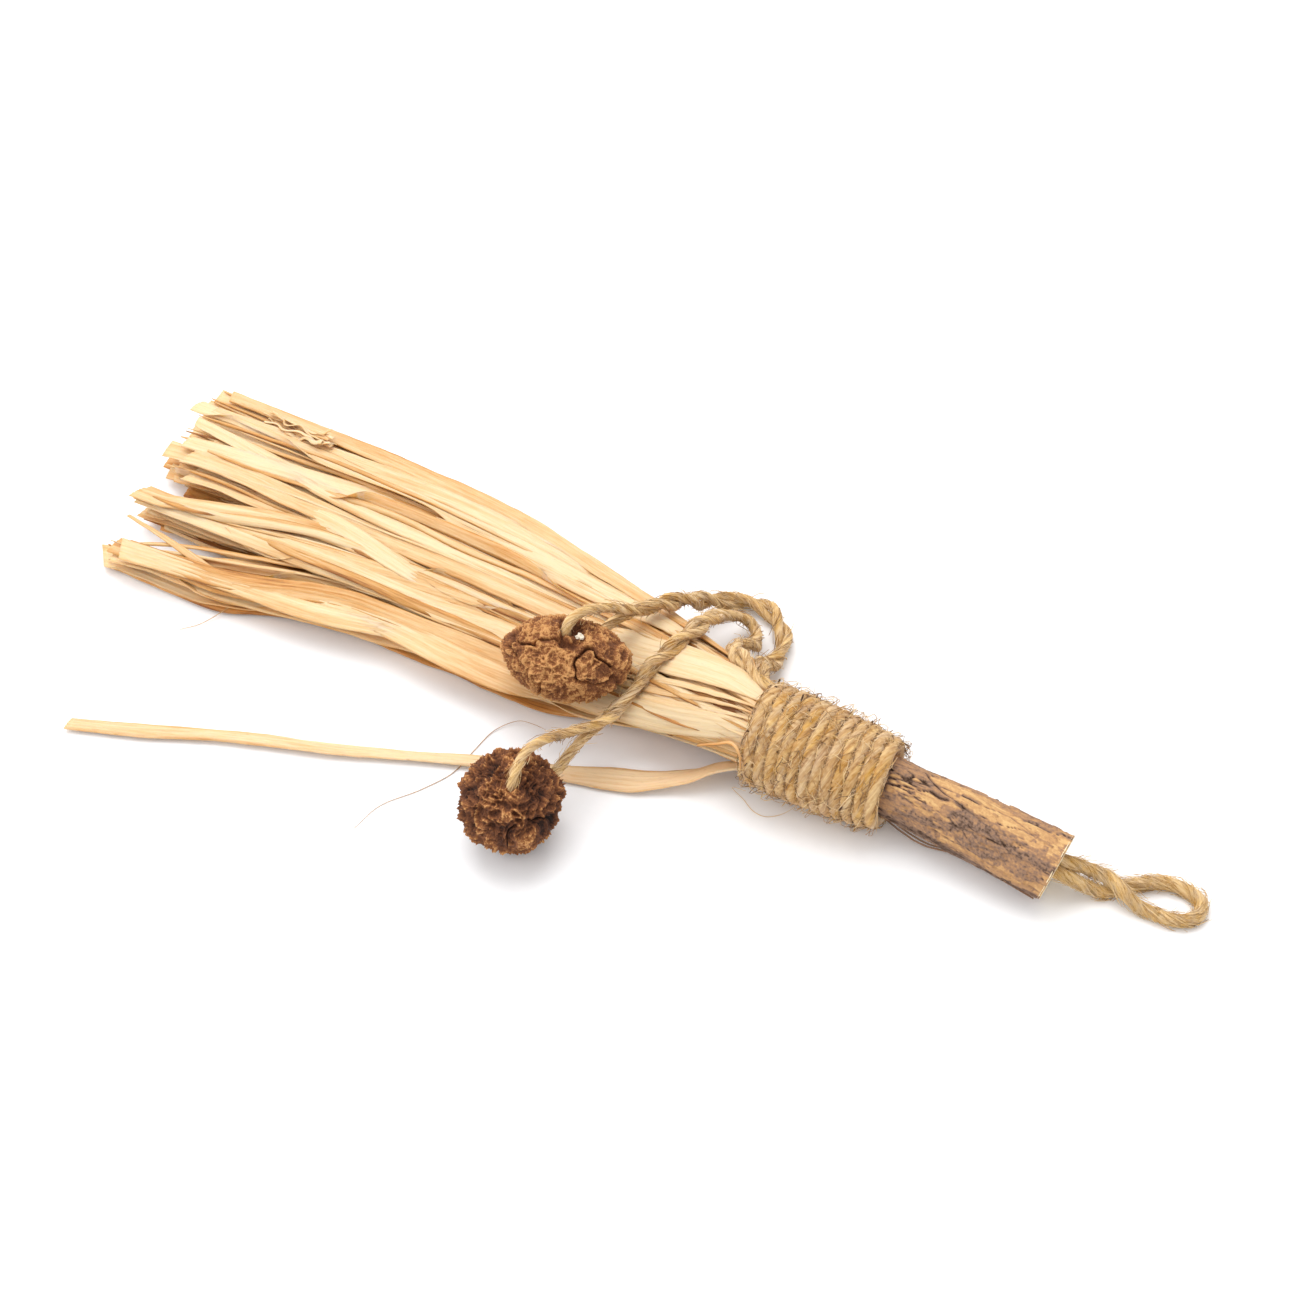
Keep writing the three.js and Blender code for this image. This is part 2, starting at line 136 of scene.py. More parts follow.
# Each twine: the length of one turn of its plies, its fibres, the share of them that stick out, and how much
# paler it is than the wrap.
LOOP_LOOK = dict(lay=15.0, fibres=2400, stray=0.3, shade=0.4)
CORD_LOOK = dict(lay=12.0, fibres=3200, stray=0.2, shade=0.16)
PAIR_SPACING = 2.24  # between the middles of a cord's two strands
CHANNEL_RADIUS = 8.75  # the pair under the wrap, from the handle's axis
STRAIGHT_PAIR = 9.0  # length over which the pair runs before it begins to turn
TUCK = 4.0  # how deep the pair is tucked into the wrap
RUN_POINTS = 13  # stretches between the knots of one strand
LOOP_ROUTE = [
    (61, -0.6, 7.4), (64.5, -0.7, 7.4), (68, -0.6, 7.2), (71, 0.8, 5.6), (73.8, 2.1, 3.8), (76.6, 2.1, 3.5),
    (79.4, 0.9, 3.9), (82, -0.2, 2.8), (84.8, -0.5, 1.6), (88, -0.6, 1.4), (91.4, -0.6, 1.4),
    (94.4, 0.6, 1.4), (96.2, 3, 1.4), (95.6, 5.6, 1.4), (93, 7.2, 1.4), (89.6, 7.6, 1.4), (86, 6.7, 1.4),
    (82.6, 4.7, 1.4), (79.6, 2.4, 1.3), (76.8, -0.2, 1.3), (73.8, -1, 2.5), (71, -2.6, 4.9),
    (68, -3.4, 6.8), (64.5, -3.5, 7.2), (61, -3.4, 7.3),
]
# Each gall cord: its gall's centre, the clock angle of the pair under the wrap, the half turns that
# the pair makes, the pair's middle line, and the bight round and through the gall from its centre.
GALL_CORDS = {
    "far": dict(
        gall=(-40.6, -5.0, 19.0), clock=77.9, twists=7,
        run=[
            (-2.3, 9.7, 13.8), (-5.6, 14.4, 12.4), (-7, 19.4, 6.6), (-6.2, 24.4, 2.7), (-7.4, 31, 2.3),
            (-12.4, 36, 2.3), (-19, 36.8, 2.3), (-24.2, 33, 3.6), (-27, 27.6, 8.4), (-29.2, 21.6, 13.6),
            (-31.4, 16.2, 16.8),
        ],
        bight=[
            (4.4, 13.1, 4), (2.7, 8.9, 7.6), (1.1, 5.5, 9.8), (-0.5, 2.3, 9.2), (-0.9, 0.9, 5),
            (-0.3, 2.1, 1.2), (1.3, 5.9, -0.6), (2.9, 10.3, -1), (4.7, 14.7, -0.8),
        ],
    ),
    "near": dict(
        gall=(-37.5, -37.0, 10.9), clock=48.4, twists=10,
        run=[
            (-2.5, 7.1, 18.1), (-8, 10.1, 18.6), (-12.4, 15.8, 14.2), (-12.2, 21, 8.4), (-11.6, 26.6, 4.2),
            (-14.4, 31, 3.2), (-18.4, 29.4, 5.6), (-19.6, 23.6, 11.6), (-20.4, 17, 16.2), (-22.2, 9, 17.6),
            (-24.6, 2.4, 17.1), (-26.2, -4.2, 14.4), (-28.6, -11.4, 12.8),
        ],
        bight=[
            (4.5, 16.4, 5.7), (2.5, 9.6, 10.3), (1.5, 4, 12.6), (1.5, -1.2, 11.8), (1.7, -3.2, 7.3),
            (2.1, -1.9, 2.9), (2.9, 1.8, 0.6), (3.9, 6.6, -0.2), (4.9, 11.4, 0), (6.1, 16.8, 1.4),
        ],
    ),
}
# Each gall: half its size along, across and up, its turn in degrees, its wrinkles' seed and spacing, how
# much painted shade darkens its folds, and how deep its wrinkles are as a share of the setting.
GALLS = {
    "far": dict(half=(13.6, 9.4, 8.4), turn=13.0, seed=2, lump=1.5, dark=0.5, relief=0.55),
    "near": dict(half=(11.0, 11.2, 10.9), turn=0.0, seed=5, lump=2.3, dark=0.7, relief=1.0),
}
GALL_ROWS = 210  # of latitude
GALL_CORNERS = 380  # of longitude
PIT_RADIUS = 2.0  # the pit round each of a gall's holes
PIT_DEPTH = 2.2
# The crumbs beside the far gall's hole: place and radius.
CRUMBS = [((-38.0, -4.2, 26.9), 0.6), ((-37.5, -4.5, 26.8), 0.45), ((-38.4, -4.7, 26.8), 0.4)]

# The camera stands at this azimuth and elevation, in degrees.
CAMERA_AZIMUTH = 25.4
CAMERA_ELEVATION = 52.0
CAMERA_PLACE = (169.9, -408.8, 604.1)
FLOOR_HALF = 6.0  # metres
# The lamps: name, place in metres, width, and power as a share of the key light's.
LAMPS = [("overhead", (-0.25, 0.35, 1.0), 0.9, 1.0), ("window", (-0.8, -0.5, 0.7), 0.8, 0.45)]
ROOM_WHITE = (0.995, 0.995, 1.0, 1.0)
ROOM_STRENGTH = 0.87


def linear(code):
    """A colour code such as 'e8cf9a', in sRGB, as linear red, green and blue."""
    shares = [int(code[place : place + 2], 16) / 255 for place in (0, 2, 4)]
    return tuple(share / 12.92 if share <= 0.04045 else ((share + 0.055) / 1.055) ** 2.4 for share in shares)


def opaque(colour):
    """The colour with an alpha of 1."""
    return (*colour, 1.0)


# Settings ----------------------------------------------------------------------------------------


def length_property(name, description, millimetres):
    """A length in metres, its default given in millimetres."""
    return FloatProperty(
        name=name, description=description, default=millimetres * MM, min=0.0, unit="LENGTH", precision=5
    )


def colour_property(name, description, code):
    """A linear colour, its default given as a colour code."""
    return FloatVectorProperty(
        name=name, description=description, subtype="COLOR", size=3, min=0.0, max=1.0, default=linear(code)
    )


class WhiskTwineSettings(bpy.types.PropertyGroup):
    """Sizes and colours of the jute."""

    loop_diameter: length_property("Loop twine", "Diameter of the hanging loop's twine", LOOP_TWINE)
    cord_diameter: length_property("Cord twine", "Diameter of the gall cords' twine", CORD_TWINE)
    fibre: length_property("Fibre", "Thickness of one loose jute fibre", 0.15)
    fibres: IntProperty(
        name="Wrap fibres", description="Number of fibres drawn on the wrap", default=4300, min=0
    )
    pale: colour_property("Pale jute", "Colour of the palest fibres", "e2c390")
    body: colour_property("Jute", "Colour of most of the twine", "b08452")
    # The dark jute colour is painted shade between the fibres and the plies, and also the own colour of the
    # dark husks.
    dark: colour_property("Dark jute", "Colour between the fibres", "54391f")


class WhiskRaffiaSettings(bpy.types.PropertyGroup):
    """Sizes and colours of the raffia."""

    thickness: length_property("Thickness", "Thickness of a strip", 0.22)
    curl: length_property("Curl", "How far a strip's middle stands above its edges", 0.5)
    pleat: length_property("Pleat", "Height of the lengthwise pleats", 0.3)
    shreds: IntProperty(
        name="Shreds", description="Number of thin shreds among the strips", default=80, min=0
    )
    pale: colour_property("Pale raffia", "Colour of a bleached strip", "eccca3")
    straw: colour_property("Straw", "Colour of most strips", "e1b786")
    amber: colour_property("Amber", "Colour of a ripe strip", "c98e4c")
    brown: colour_property("Brown", "Colour of the darkest streaks", "865126")


class WhiskWoodSettings(bpy.types.PropertyGroup):
    """Sizes and colours of the stick and the galls."""

    fissure: length_property("Fissure", "Depth of the bark's fissures", 0.5)
    golden: colour_property("Inner bark", "Colour where the outer bark has flaked off", "c59766")
    tan: colour_property("Bark", "Colour of most of the bark", "ab825f")
    grey: colour_property("Outer bark", "Colour of the weathered plates", "866b5a")
    cleft: colour_property("Fissure colour", "Colour at the bottom of a fissure", "3a2414")
    sawn: colour_property("Sawn wood", "Colour of the fresh saw cut", "f0dfb8")
    wrinkle: length_property("Wrinkle", "Depth of the galls' wrinkles", 1.25)
    gall_ridge: colour_property("Gall ridges", "Colour of the ridges on a gall", "a2683a")
    gall: colour_property("Gall", "Colour of most of a gall", "734426")
    gall_deep: colour_property("Gall creases", "Colour in the creases of a gall", "24130b")


class WhiskStageSettings(bpy.types.PropertyGroup):
    """The floor, the lights and the camera."""

    floor: colour_property("Floor", "Colour of the floor", "f9f9fa")
    lens: FloatProperty(
        name="Lens", description="Focal length of the camera in millimetres", default=100.0, min=10.0
    )
    key: FloatProperty(
        name="Key light", description="Power of the large light overhead", default=8.6, min=0.0, unit="POWER"
    )


SETTINGS = {
    "whisk_twine": WhiskTwineSettings,
    "whisk_raffia": WhiskRaffiaSettings,
    "whisk_wood": WhiskWoodSettings,
    "whisk_stage": WhiskStageSettings,
}


# Numbers -----------------------------------------------------------------------------------------


def to_row(points):
    """Millimetres in the whisk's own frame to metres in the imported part's frame."""
    return (np.asarray(points, float) + MOUTH_PLACE) * MM


def unit(vectors):
    """The vectors at length 1."""
    return vectors / np.maximum(np.linalg.norm(vectors, axis=-1, keepdims=True), 1e-9)


def eased(value, low=0.0, high=1.0):
    """0 up to low, 1 from high, and 3t² - 2t³ between."""
    share = np.clip((value - low) / (high - low), 0, 1)
    return share * share * (3 - 2 * share)


def mixed(a, b, share):
    """a at share 0, b at share 1, and in proportion between."""
    return a + (b - a) * share


def drawn(cell, seed):
    """A number from 0 to 1 that is always the same for the same three whole numbers."""
    cell = cell.astype(np.int64)
    x, y, z = np.moveaxis(cell, -1, 0)
    key = (x * 73856093) ^ (y * 19349663) ^ (z * 83492791) ^ (seed * 26544357)
    key = ((key ^ (key >> 13)) * 1274126177) & 0x7FFFFFFF
    return ((key ^ (key >> 15)) & 0xFFFF) / 65535


def rough(at, seed=0):
    """Noise from -1 to 1: a drawn number at each whole-number point, blended over each cube by 6t⁵ - 15t⁴ +
    10t³."""
    at = np.asarray(at, float)
    cell = np.floor(at)
    part = at - cell
    part = part**3 * (part * (part * 6 - 15) + 10)
    total = np.zeros(at.shape[:-1])
    for corner in product((0, 1), repeat=3):
        weight = np.where(np.array(corner) == 1, part, 1 - part).prod(-1)
        total += weight * (2 * drawn(cell + corner, seed) - 1)
    return total


def rough_layers(at, layers, seed=0, ridged=False):
    """Noise added to itself at twice the fineness and half the height, layer after layer. Ridged takes 1 -
    2|n| of each."""
    total, height, whole = 0.0, 1.0, 0.0
    for layer in range(layers):
        part = rough(at * 2.03**layer + 7.7 * layer, seed + layer)
        total = total + height * ((1 - 2 * np.abs(part)) if ridged else part)
        whole += height
        height *= 0.5
    return total / whole


def plates(at, seed=0):
    """Cells round one scattered point in each unit cube: the distance to the nearest point, how much further
    the second nearest is, and a number that belongs to the nearest."""
    base = np.floor(at)
    near, second = np.full(at.shape[:-1], 9.0), np.full(at.shape[:-1], 9.0)
    mark = np.zeros(at.shape[:-1])
    for corner in product((-1, 0, 1), repeat=3):
        cell = base + corner
        spot = cell + np.stack([drawn(cell, seed + axis) for axis in range(3)], -1)
        away = np.linalg.norm(at - spot, axis=-1)
        closer = away < near
        second = np.where(closer, near, np.minimum(second, away))
        mark = np.where(closer, drawn(cell, seed + 9), mark)
        near = np.minimum(near, away)
    return near, second - near, mark


def line_noise(along, seed):
    """Noise along one number: rough() on a line through the lattice."""
    along = np.asarray(along, float)
    return rough(np.stack([along, np.full_like(along, seed * 3.7 + 0.5), np.full_like(along, 0.5)], -1), seed)


# Lines and surfaces ------------------------------------------------------------------------------


def smooth_line(knots, steps=24):
    """The centripetal Catmull-Rom curve through the knots: between two knots a cubic, whose slopes come from
    the knots' distances to the power one half."""
    knots = np.asarray(knots, float)
    ends = np.vstack([2 * knots[0] - knots[1], knots, 2 * knots[-1] - knots[-2]])
    first, start, end, last = ends[:-3], ends[1:-2], ends[2:-1], ends[3:]
    pairs = (first, start), (start, end), (end, last)
    a, b, c = (np.sqrt(np.linalg.norm(there - here, axis=1))[:, None] for here, there in pairs)
    slope_in = ((start - first) / a - (end - first) / (a + b) + (end - start) / b) * b
    slope_out = ((end - start) / b - (last - start) / (b + c) + (last - end) / c) * b
    share = np.linspace(0, 1, steps, endpoint=False)[:, None, None]
    line = (
        start
        + slope_in * share
        + (3 * (end - start) - 2 * slope_in - slope_out) * share**2
        + (2 * (start - end) + slope_in + slope_out) * share**3
    )
    return np.vstack([line.transpose(1, 0, 2).reshape(-1, 3), knots[-1:]])


def distances(line):
    """How far along the line each of its points is."""
    return np.concatenate([[0], np.cumsum(np.linalg.norm(np.diff(line, axis=0), axis=1))])


def sampled(values, along, at):
    """Rows of numbers, given at distances along a line, read at other distances."""
    return np.stack([np.interp(at, along, values[:, column]) for column in range(values.shape[1])], -1)


def evenly(line, step):
    """The line with its points a step apart."""
    along = distances(line)
    return sampled(line, along, np.linspace(0, along[-1], int(along[-1] / step) + 2))


def carried(line):
    """Direction, side and upright at each point of a line. The side is carried along: each is the last one
    with its part along the new direction taken out."""
    direction = unit(np.gradient(line, axis=0))
    side = np.empty_like(line)
    last = np.cross(direction[0], (0.0, 0.3, 1.0))
    for place, ahead in enumerate(direction):
        last = last - ahead * last.dot(ahead)
        last = last / np.linalg.norm(last)
        side[place] = last
    return direction, side, np.cross(direction, side)


class Shell:
    """Closed tubes of one piece: points, quads and, for each point, its tone and its place in the grain."""

    def __init__(self):
        self.points, self.quads, self.tone, self.grain = [], [], [], []
        self.count = 0

    def add(self, rings, tone=0.5, grain=None):
        """rings[tube, ring, corner] are points, anticlockwise seen from the tube's last ring looking back.
        Quads join each ring to the next, and a ladder of quads closes each end."""
        tubes, rows, corners = rings.shape[:3]
        index = np.arange(tubes * rows * corners).reshape(tubes, rows, corners) + self.count
        turned = np.roll(index, -1, axis=2)
        sides = np.stack([index[:, :-1], turned[:, :-1], turned[:, 1:], index[:, 1:]], -1)
        rung = np.arange(corners // 2 - 1)
        back = corners - 1 - rung
        ladder = np.stack([rung, rung + 1, back - 1, back], -1)
        self.quads += [
            sides.reshape(-1, 4),
            index[:, 0][:, ladder[:, ::-1]].reshape(-1, 4),
            index[:, -1][:, ladder].reshape(-1, 4),
        ]
        shape = rings.shape[:3]
        self.points.append(rings.reshape(-1, 3))
        self.tone.append(np.broadcast_to(tone, shape).reshape(-1))
        self.grain.append((rings if grain is None else np.broadcast_to(grain, (*shape, 3))).reshape(-1, 3))
        self.count += tubes * rows * corners
        return self

    def made(self, name, material):
        """The mesh object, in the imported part's frame, with the point attributes tone and grain (in
        millimetres)."""
        points = to_row(np.vstack(self.points)).astype(np.float32)
        quads = np.vstack(self.quads).astype(np.int32)
        mesh = bpy.data.meshes.new(name)
        mesh.vertices.add(len(points))
        mesh.vertices.foreach_set("co", points.ravel())
        mesh.loops.add(quads.size)
        mesh.loops.foreach_set("vertex_index", quads.ravel())
        mesh.polygons.add(len(quads))
        mesh.polygons.foreach_set("loop_start", np.arange(0, quads.size, 4, dtype=np.int32))
        mesh.update(calc_edges=True)
        mesh.polygons.foreach_set("use_smooth", np.full(len(quads), True))
        mesh.attributes.new("tone", "FLOAT", "POINT").data.foreach_set(
            "value", np.concatenate(self.tone).astype(np.float32)
        )
        mesh.attributes.new("grain", "FLOAT_VECTOR", "POINT").data.foreach_set(
            "vector", np.vstack(self.grain).astype(np.float32).ravel()
        )
        mesh.materials.append(material)
        made = bpy.data.objects.new(name, mesh)
        bpy.context.scene.collection.objects.link(made)
        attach(made, "root")
        return made


def hair_rings(lines, thick, corners=4):
    """A thin tube on each of many lines: lines[hair, point], a square section that narrows to both ends."""
    hairs, steps = lines.shape[:2]
    direction = unit(np.gradient(lines, axis=1))
    lean = unit(np.cross(direction[:, steps // 2], (0.31, 0.17, 0.94)))[:, None]
    side = unit(lean - direction * (lean * direction).sum(-1, keepdims=True))
    upright = np.cross(direction, side)
    taper = 0.3 + 0.7 * np.sin(np.pi * np.linspace(0.06, 0.94, steps)) ** 0.6
    radius = np.broadcast_to(np.asarray(thick, float).reshape(-1, 1), (hairs, steps)) / 2 * taper
    turn = np.arange(corners) * 2 * np.pi / corners
    ring = side[:, :, None] * np.cos(turn)[:, None] + upright[:, :, None] * np.sin(turn)[:, None]
    return lines[:, :, None] + ring * radius[..., None, None]


def globe(rows, corners, pole):
    """x, y and z of a ball of radius 1: sin(a)cos(b), sin(a)sin(b) and cos(a) over latitude a and longitude
    b. The pole is the small angle at which its first and last rings, which are closed, stand off the axis."""
    latitude = np.linspace(pole, np.pi - pole, rows)[:, None]
    longitude = np.arange(corners)[None] * 2 * np.pi / corners
    return (
        np.sin(latitude) * np.cos(longitude),
        np.sin(latitude) * np.sin(longitude),
        np.cos(latitude) + 0 * longitude,
    )


def above_floor(points):
    """The same points, none of them lower than the gap over the floor."""
    points[..., 2] = np.maximum(points[..., 2], FLOOR_GAP)
    return points


# Twine -------------------------------------------------------------------------------------------


def twine_rings(line, diameter, lay, seed, corners=28, ply_depth=0.15):
    """Two-ply twine along a line. At angle a and distance s the radius is R(1.04 - d + d|cos(a - 2πs/lay)|),
    d being the depth between the plies, with fibre grooves from noise that turns with the plies, and a slow
    swell."""
    along = distances(line)
    _, side, upright = carried(line)
    turn = np.arange(corners) * 2 * np.pi / corners
    ply = turn[None] - 2 * np.pi * along[:, None] / lay
    radius = diameter / 2
    # The grain is seven times as long as it is wide.
    inner = np.stack(
        [radius * np.cos(ply), radius * np.sin(ply), np.broadcast_to(along[:, None] * 0.14, ply.shape)], -1
    )
    shape = 1.04 - ply_depth + ply_depth * np.abs(np.cos(ply))
    grooves = 0.075 * rough(inner * (3.4, 3.4, 1.6), seed) + 0.05 * rough(inner * (7, 7, 3), seed + 3)
    swell = 0.05 * line_noise(along / 5, seed)[:, None]
    reach = radius * (shape + grooves + swell)
    around = side[:, None] * np.cos(turn)[None, :, None] + upright[:, None] * np.sin(turn)[None, :, None]
    # Painted shade: the tone is darker in the fibre grooves and in the valleys between the plies.
    tone = np.clip(0.5 + 3.2 * grooves + 0.9 * (shape - 0.93), 0, 1)
    return (line[:, None] + around * reach[..., None])[None], tone[None], inner[None]


def fibres_on(line, diameter, lay, count, rng, reach=(4.0, 13.0), stray=0.2, lift=1.05):
    """Fibres laid on a twine: each follows the plies' turn for a few millimetres, sinks and rises a little,
    and a share of them leave the surface at one end along a curve that grows faster than the distance."""
    along = distances(line)
    _, side, upright = carried(line)
    share = np.linspace(0, 1, FIBRE_STEPS)[None]
    start = rng.uniform(-0.02, 0.98, (count, 1)) * along[-1]
    at = np.clip(start + rng.uniform(*reach, (count, 1)) * share, 0, along[-1])
    turn = rng.uniform(0, 2 * np.pi, (count, 1))
    turn = turn + 2 * np.pi * (at - start) / lay * rng.uniform(0.5, 1.2, (count, 1))
    turn = turn + 0.25 * np.sin(share * rng.uniform(2, 7, (count, 1)) + rng.uniform(0, 6, (count, 1)))
    free = (rng.uniform(0, 1, (count, 1)) < stray) * rng.uniform(0.2, 1, (count, 1)) * lift
    high = diameter / 2 * (0.9 + 0.14 * np.sin(share * 3 + rng.uniform(0, 6, (count, 1)))) + free * share**1.8
    centre, beside, above = (sampled(values, along, at) for values in (line, side, upright))
    place = centre + high[..., None] * (beside * np.cos(turn)[..., None] + above * np.sin(turn)[..., None])
    sway = unit(rng.normal(0, 1, (count, 1, 3))) * (free * share**2.5)[..., None] * 0.9
    return above_floor(place + sway)


def add_fibres(shell, lines, thick, rng, low=0.0, high=1.0):
    """A tube on each line, each with its own thickness and its own tone between low and high."""
    count = len(lines)
    tone = rng.uniform(low, high, (count, 1, 1))
    shell.add(hair_rings(lines, thick * rng.uniform(0.6, 1.3, count)), tone=tone)


def twine_piece(name, line, diameter, seed, look, material):
    """One length of twine with its fibres, as one mesh."""
    rng = np.random.default_rng(seed)
    thick = bpy.context.scene.whisk_twine.fibre / MM
    lay, fibres, stray, shade = (look[key] for key in ("lay", "fibres", "stray", "shade"))
    shell = Shell()
    rings, tone, grain = twine_rings(line, diameter, lay, seed)
    shell.add(above_floor(rings), tone + shade, grain)
    lines = fibres_on(line, diameter, lay, fibres, rng, stray=stray)
    add_fibres(shell, lines, thick, rng, 0.05 + shade, 0.95 + shade)
    return shell.made(name, material)


def axis_height(x):
    """Height of the handle's axis, which falls steadily along +X."""
    return AXIS_HEIGHT - AXIS_DROP * x


def gall_cord_route(cord):
    """The cord's knots: out along one strand of the pair, round the bight and back along the other. The
    pair's arm turns from its clock angle by its half turns, over the length past the straight stretch beside
    the wrap."""
    clock = math.radians(cord["clock"])
    tucked = [
        (x, CHANNEL_RADIUS * math.sin(clock), axis_height(x) + CHANNEL_RADIUS * math.cos(clock))
        for x in (TUCK, 0.0)
    ]
    line = smooth_line(tucked + cord["run"], 60)
    along = distances(line)
    at = np.linspace(0, along[-1], RUN_POINTS + 1)
    middle = sampled(line, along, at)
    ahead = unit(sampled(np.gradient(line, axis=0), along, at))
    level = unit(np.cross((0.0, 0.0, 1.0), ahead))
    upright = np.cross(ahead, level)
    turned = np.maximum(at - STRAIGHT_PAIR, 0) / (along[-1] - STRAIGHT_PAIR)
    angle = (clock + turned * cord["twists"] * np.pi)[:, None]
    arm = (level * np.cos(angle) + upright * np.sin(angle)) * PAIR_SPACING / 2
    bight = np.array(cord["bight"]) + np.array(cord["gall"])
    return np.vstack([middle + arm, bight, (middle - arm)[::-1]])


# Stick -------------------------------------------------------------------------------------------


def stick_axis(x):
    """The branch's axis: it bends towards -Y by an eased curve and falls steadily to the surface."""
    x = np.asarray(x, float)
    return np.stack([x, -5.2 * eased(x, 24, 2 * STICK_END - 24), axis_height(x)], -1)


def stick_radius(x, angle):
    """The branch swells towards its sawn end by an eased curve, with three and five low knots round it
    there."""
    share = (x - STICK_ROOT) / (STICK_END - STICK_ROOT)
    swell = mixed(STICK_RADIUS_ROOT, STICK_RADIUS_END, eased(share, 0.35, 0.9))
    knots = 0.16 * np.sin(3 * angle + 5 * share) + 0.1 * np.sin(5 * angle - 9 * share)
    return swell + knots * eased(share, 0.4, 0.5)


def bark_relief(x, angle, fissure):
    """Height of the bark and its look. Long plates are cells, six times as long as wide; their borders are
    fissures, a share of the plates has flaked lower, and ridged noise stretched along the branch is the fine
    grain."""
    round_place = np.stack([BARK_ROUND * np.cos(angle), BARK_ROUND * np.sin(angle), x], -1)
    shifts = [rough(round_place / (1.8, 1.8, 4.5), seed) for seed in (3, 4)]
    bent = 0.2 * np.stack([*shifts, 0 * x], -1)
    _, border, mark = plates(round_place / (2.4, 2.4, 15.0) + bent, 11)
    _, border_fine, mark_fine = plates(round_place / (1.3, 1.3, 6.5) + 1.4 * bent, 21)
    grain = rough_layers(round_place / (0.55, 0.55, 6.0), 3, 31, ridged=True)
    open_cleft = eased(rough(round_place / (3, 3, 9), 41), -0.3, 0.5)
    cleft = (1 - eased(border, 0.0, 0.07)) * (0.15 + 0.85 * open_cleft)
    small_cleft = (1 - eased(border_fine, 0.0, 0.1)) * eased(rough(round_place / (2, 2, 6), 43), -0.1, 0.4)
    flaked = eased(mark + 0.5 * rough(round_place / (0.9, 0.9, 2.2), 51), 0.52, 0.58)
    height = -fissure * (cleft + 0.5 * small_cleft) - 0.3 * flaked + 0.13 * grain + 0.14 * (mark_fine - 0.5)
    height = height + 0.3 * rough(round_place / (3.4, 3.4, 11.0), 47)
    return height, cleft, small_cleft, flaked, mark, mark_fine, grain


class BarkTone:
    """Places on the bark material's colour ramp."""

    cleft, grey, tan, golden, pale = 0.04, 0.3, 0.55, 0.78, 0.96


def bark_tone(look, x, angle):
    """Tan bark with grey patches, golden where a plate has flaked off, near black in its fissures, partly its
    own colour and partly painted shade, and dark in a band of painted shade along the lower side. Patches and
    speckles are noise over the round of the branch."""
    cleft, small_cleft, flaked, mark, mark_fine, grain = look
    place = np.stack([BARK_ROUND * np.cos(angle), BARK_ROUND * np.sin(angle), x], -1)
    patch = rough_layers(place / (3.6, 3.6, 12.0), 2, 61) + 0.35 * rough(place / (0.7, 0.7, 1.2), 63)
    patch = eased(patch, 0.0, 0.1)
    outer = mixed(BarkTone.tan, BarkTone.grey, patch * (0.7 + 0.3 * mark_fine))
    inner = mixed(BarkTone.golden, BarkTone.pale, eased(rough(place / (0.5, 0.5, 3.5), 65), 0.1, 0.7))
    speckle = rough(place / 0.34, 67) * (0.1 + 0.12 * patch)
    tone = mixed(outer, inner, flaked * (1 - 0.75 * patch)) + 0.1 * (mark - 0.5) + 0.06 * grain + speckle
    # Painted shade: a dark band along the lower side of the branch.
    painted_low_shade = eased(np.abs(np.angle(np.exp(1j * (angle - PAINTED_SHADE_SIDE)))), *PAINTED_SHADE_BAND)
    tone = mixed(0.12 + 0.2 * eased(rough(place / (0.5, 0.5, 3.0), 69), -0.2, 0.4), tone, painted_low_shade)
    # The fissures are near black: partly the bark's own colour, partly painted shade in the recess.
    return np.clip(mixed(tone, BarkTone.cleft, np.clip(1.15 * cleft + 0.8 * small_cleft, 0, 1)), 0, 1)


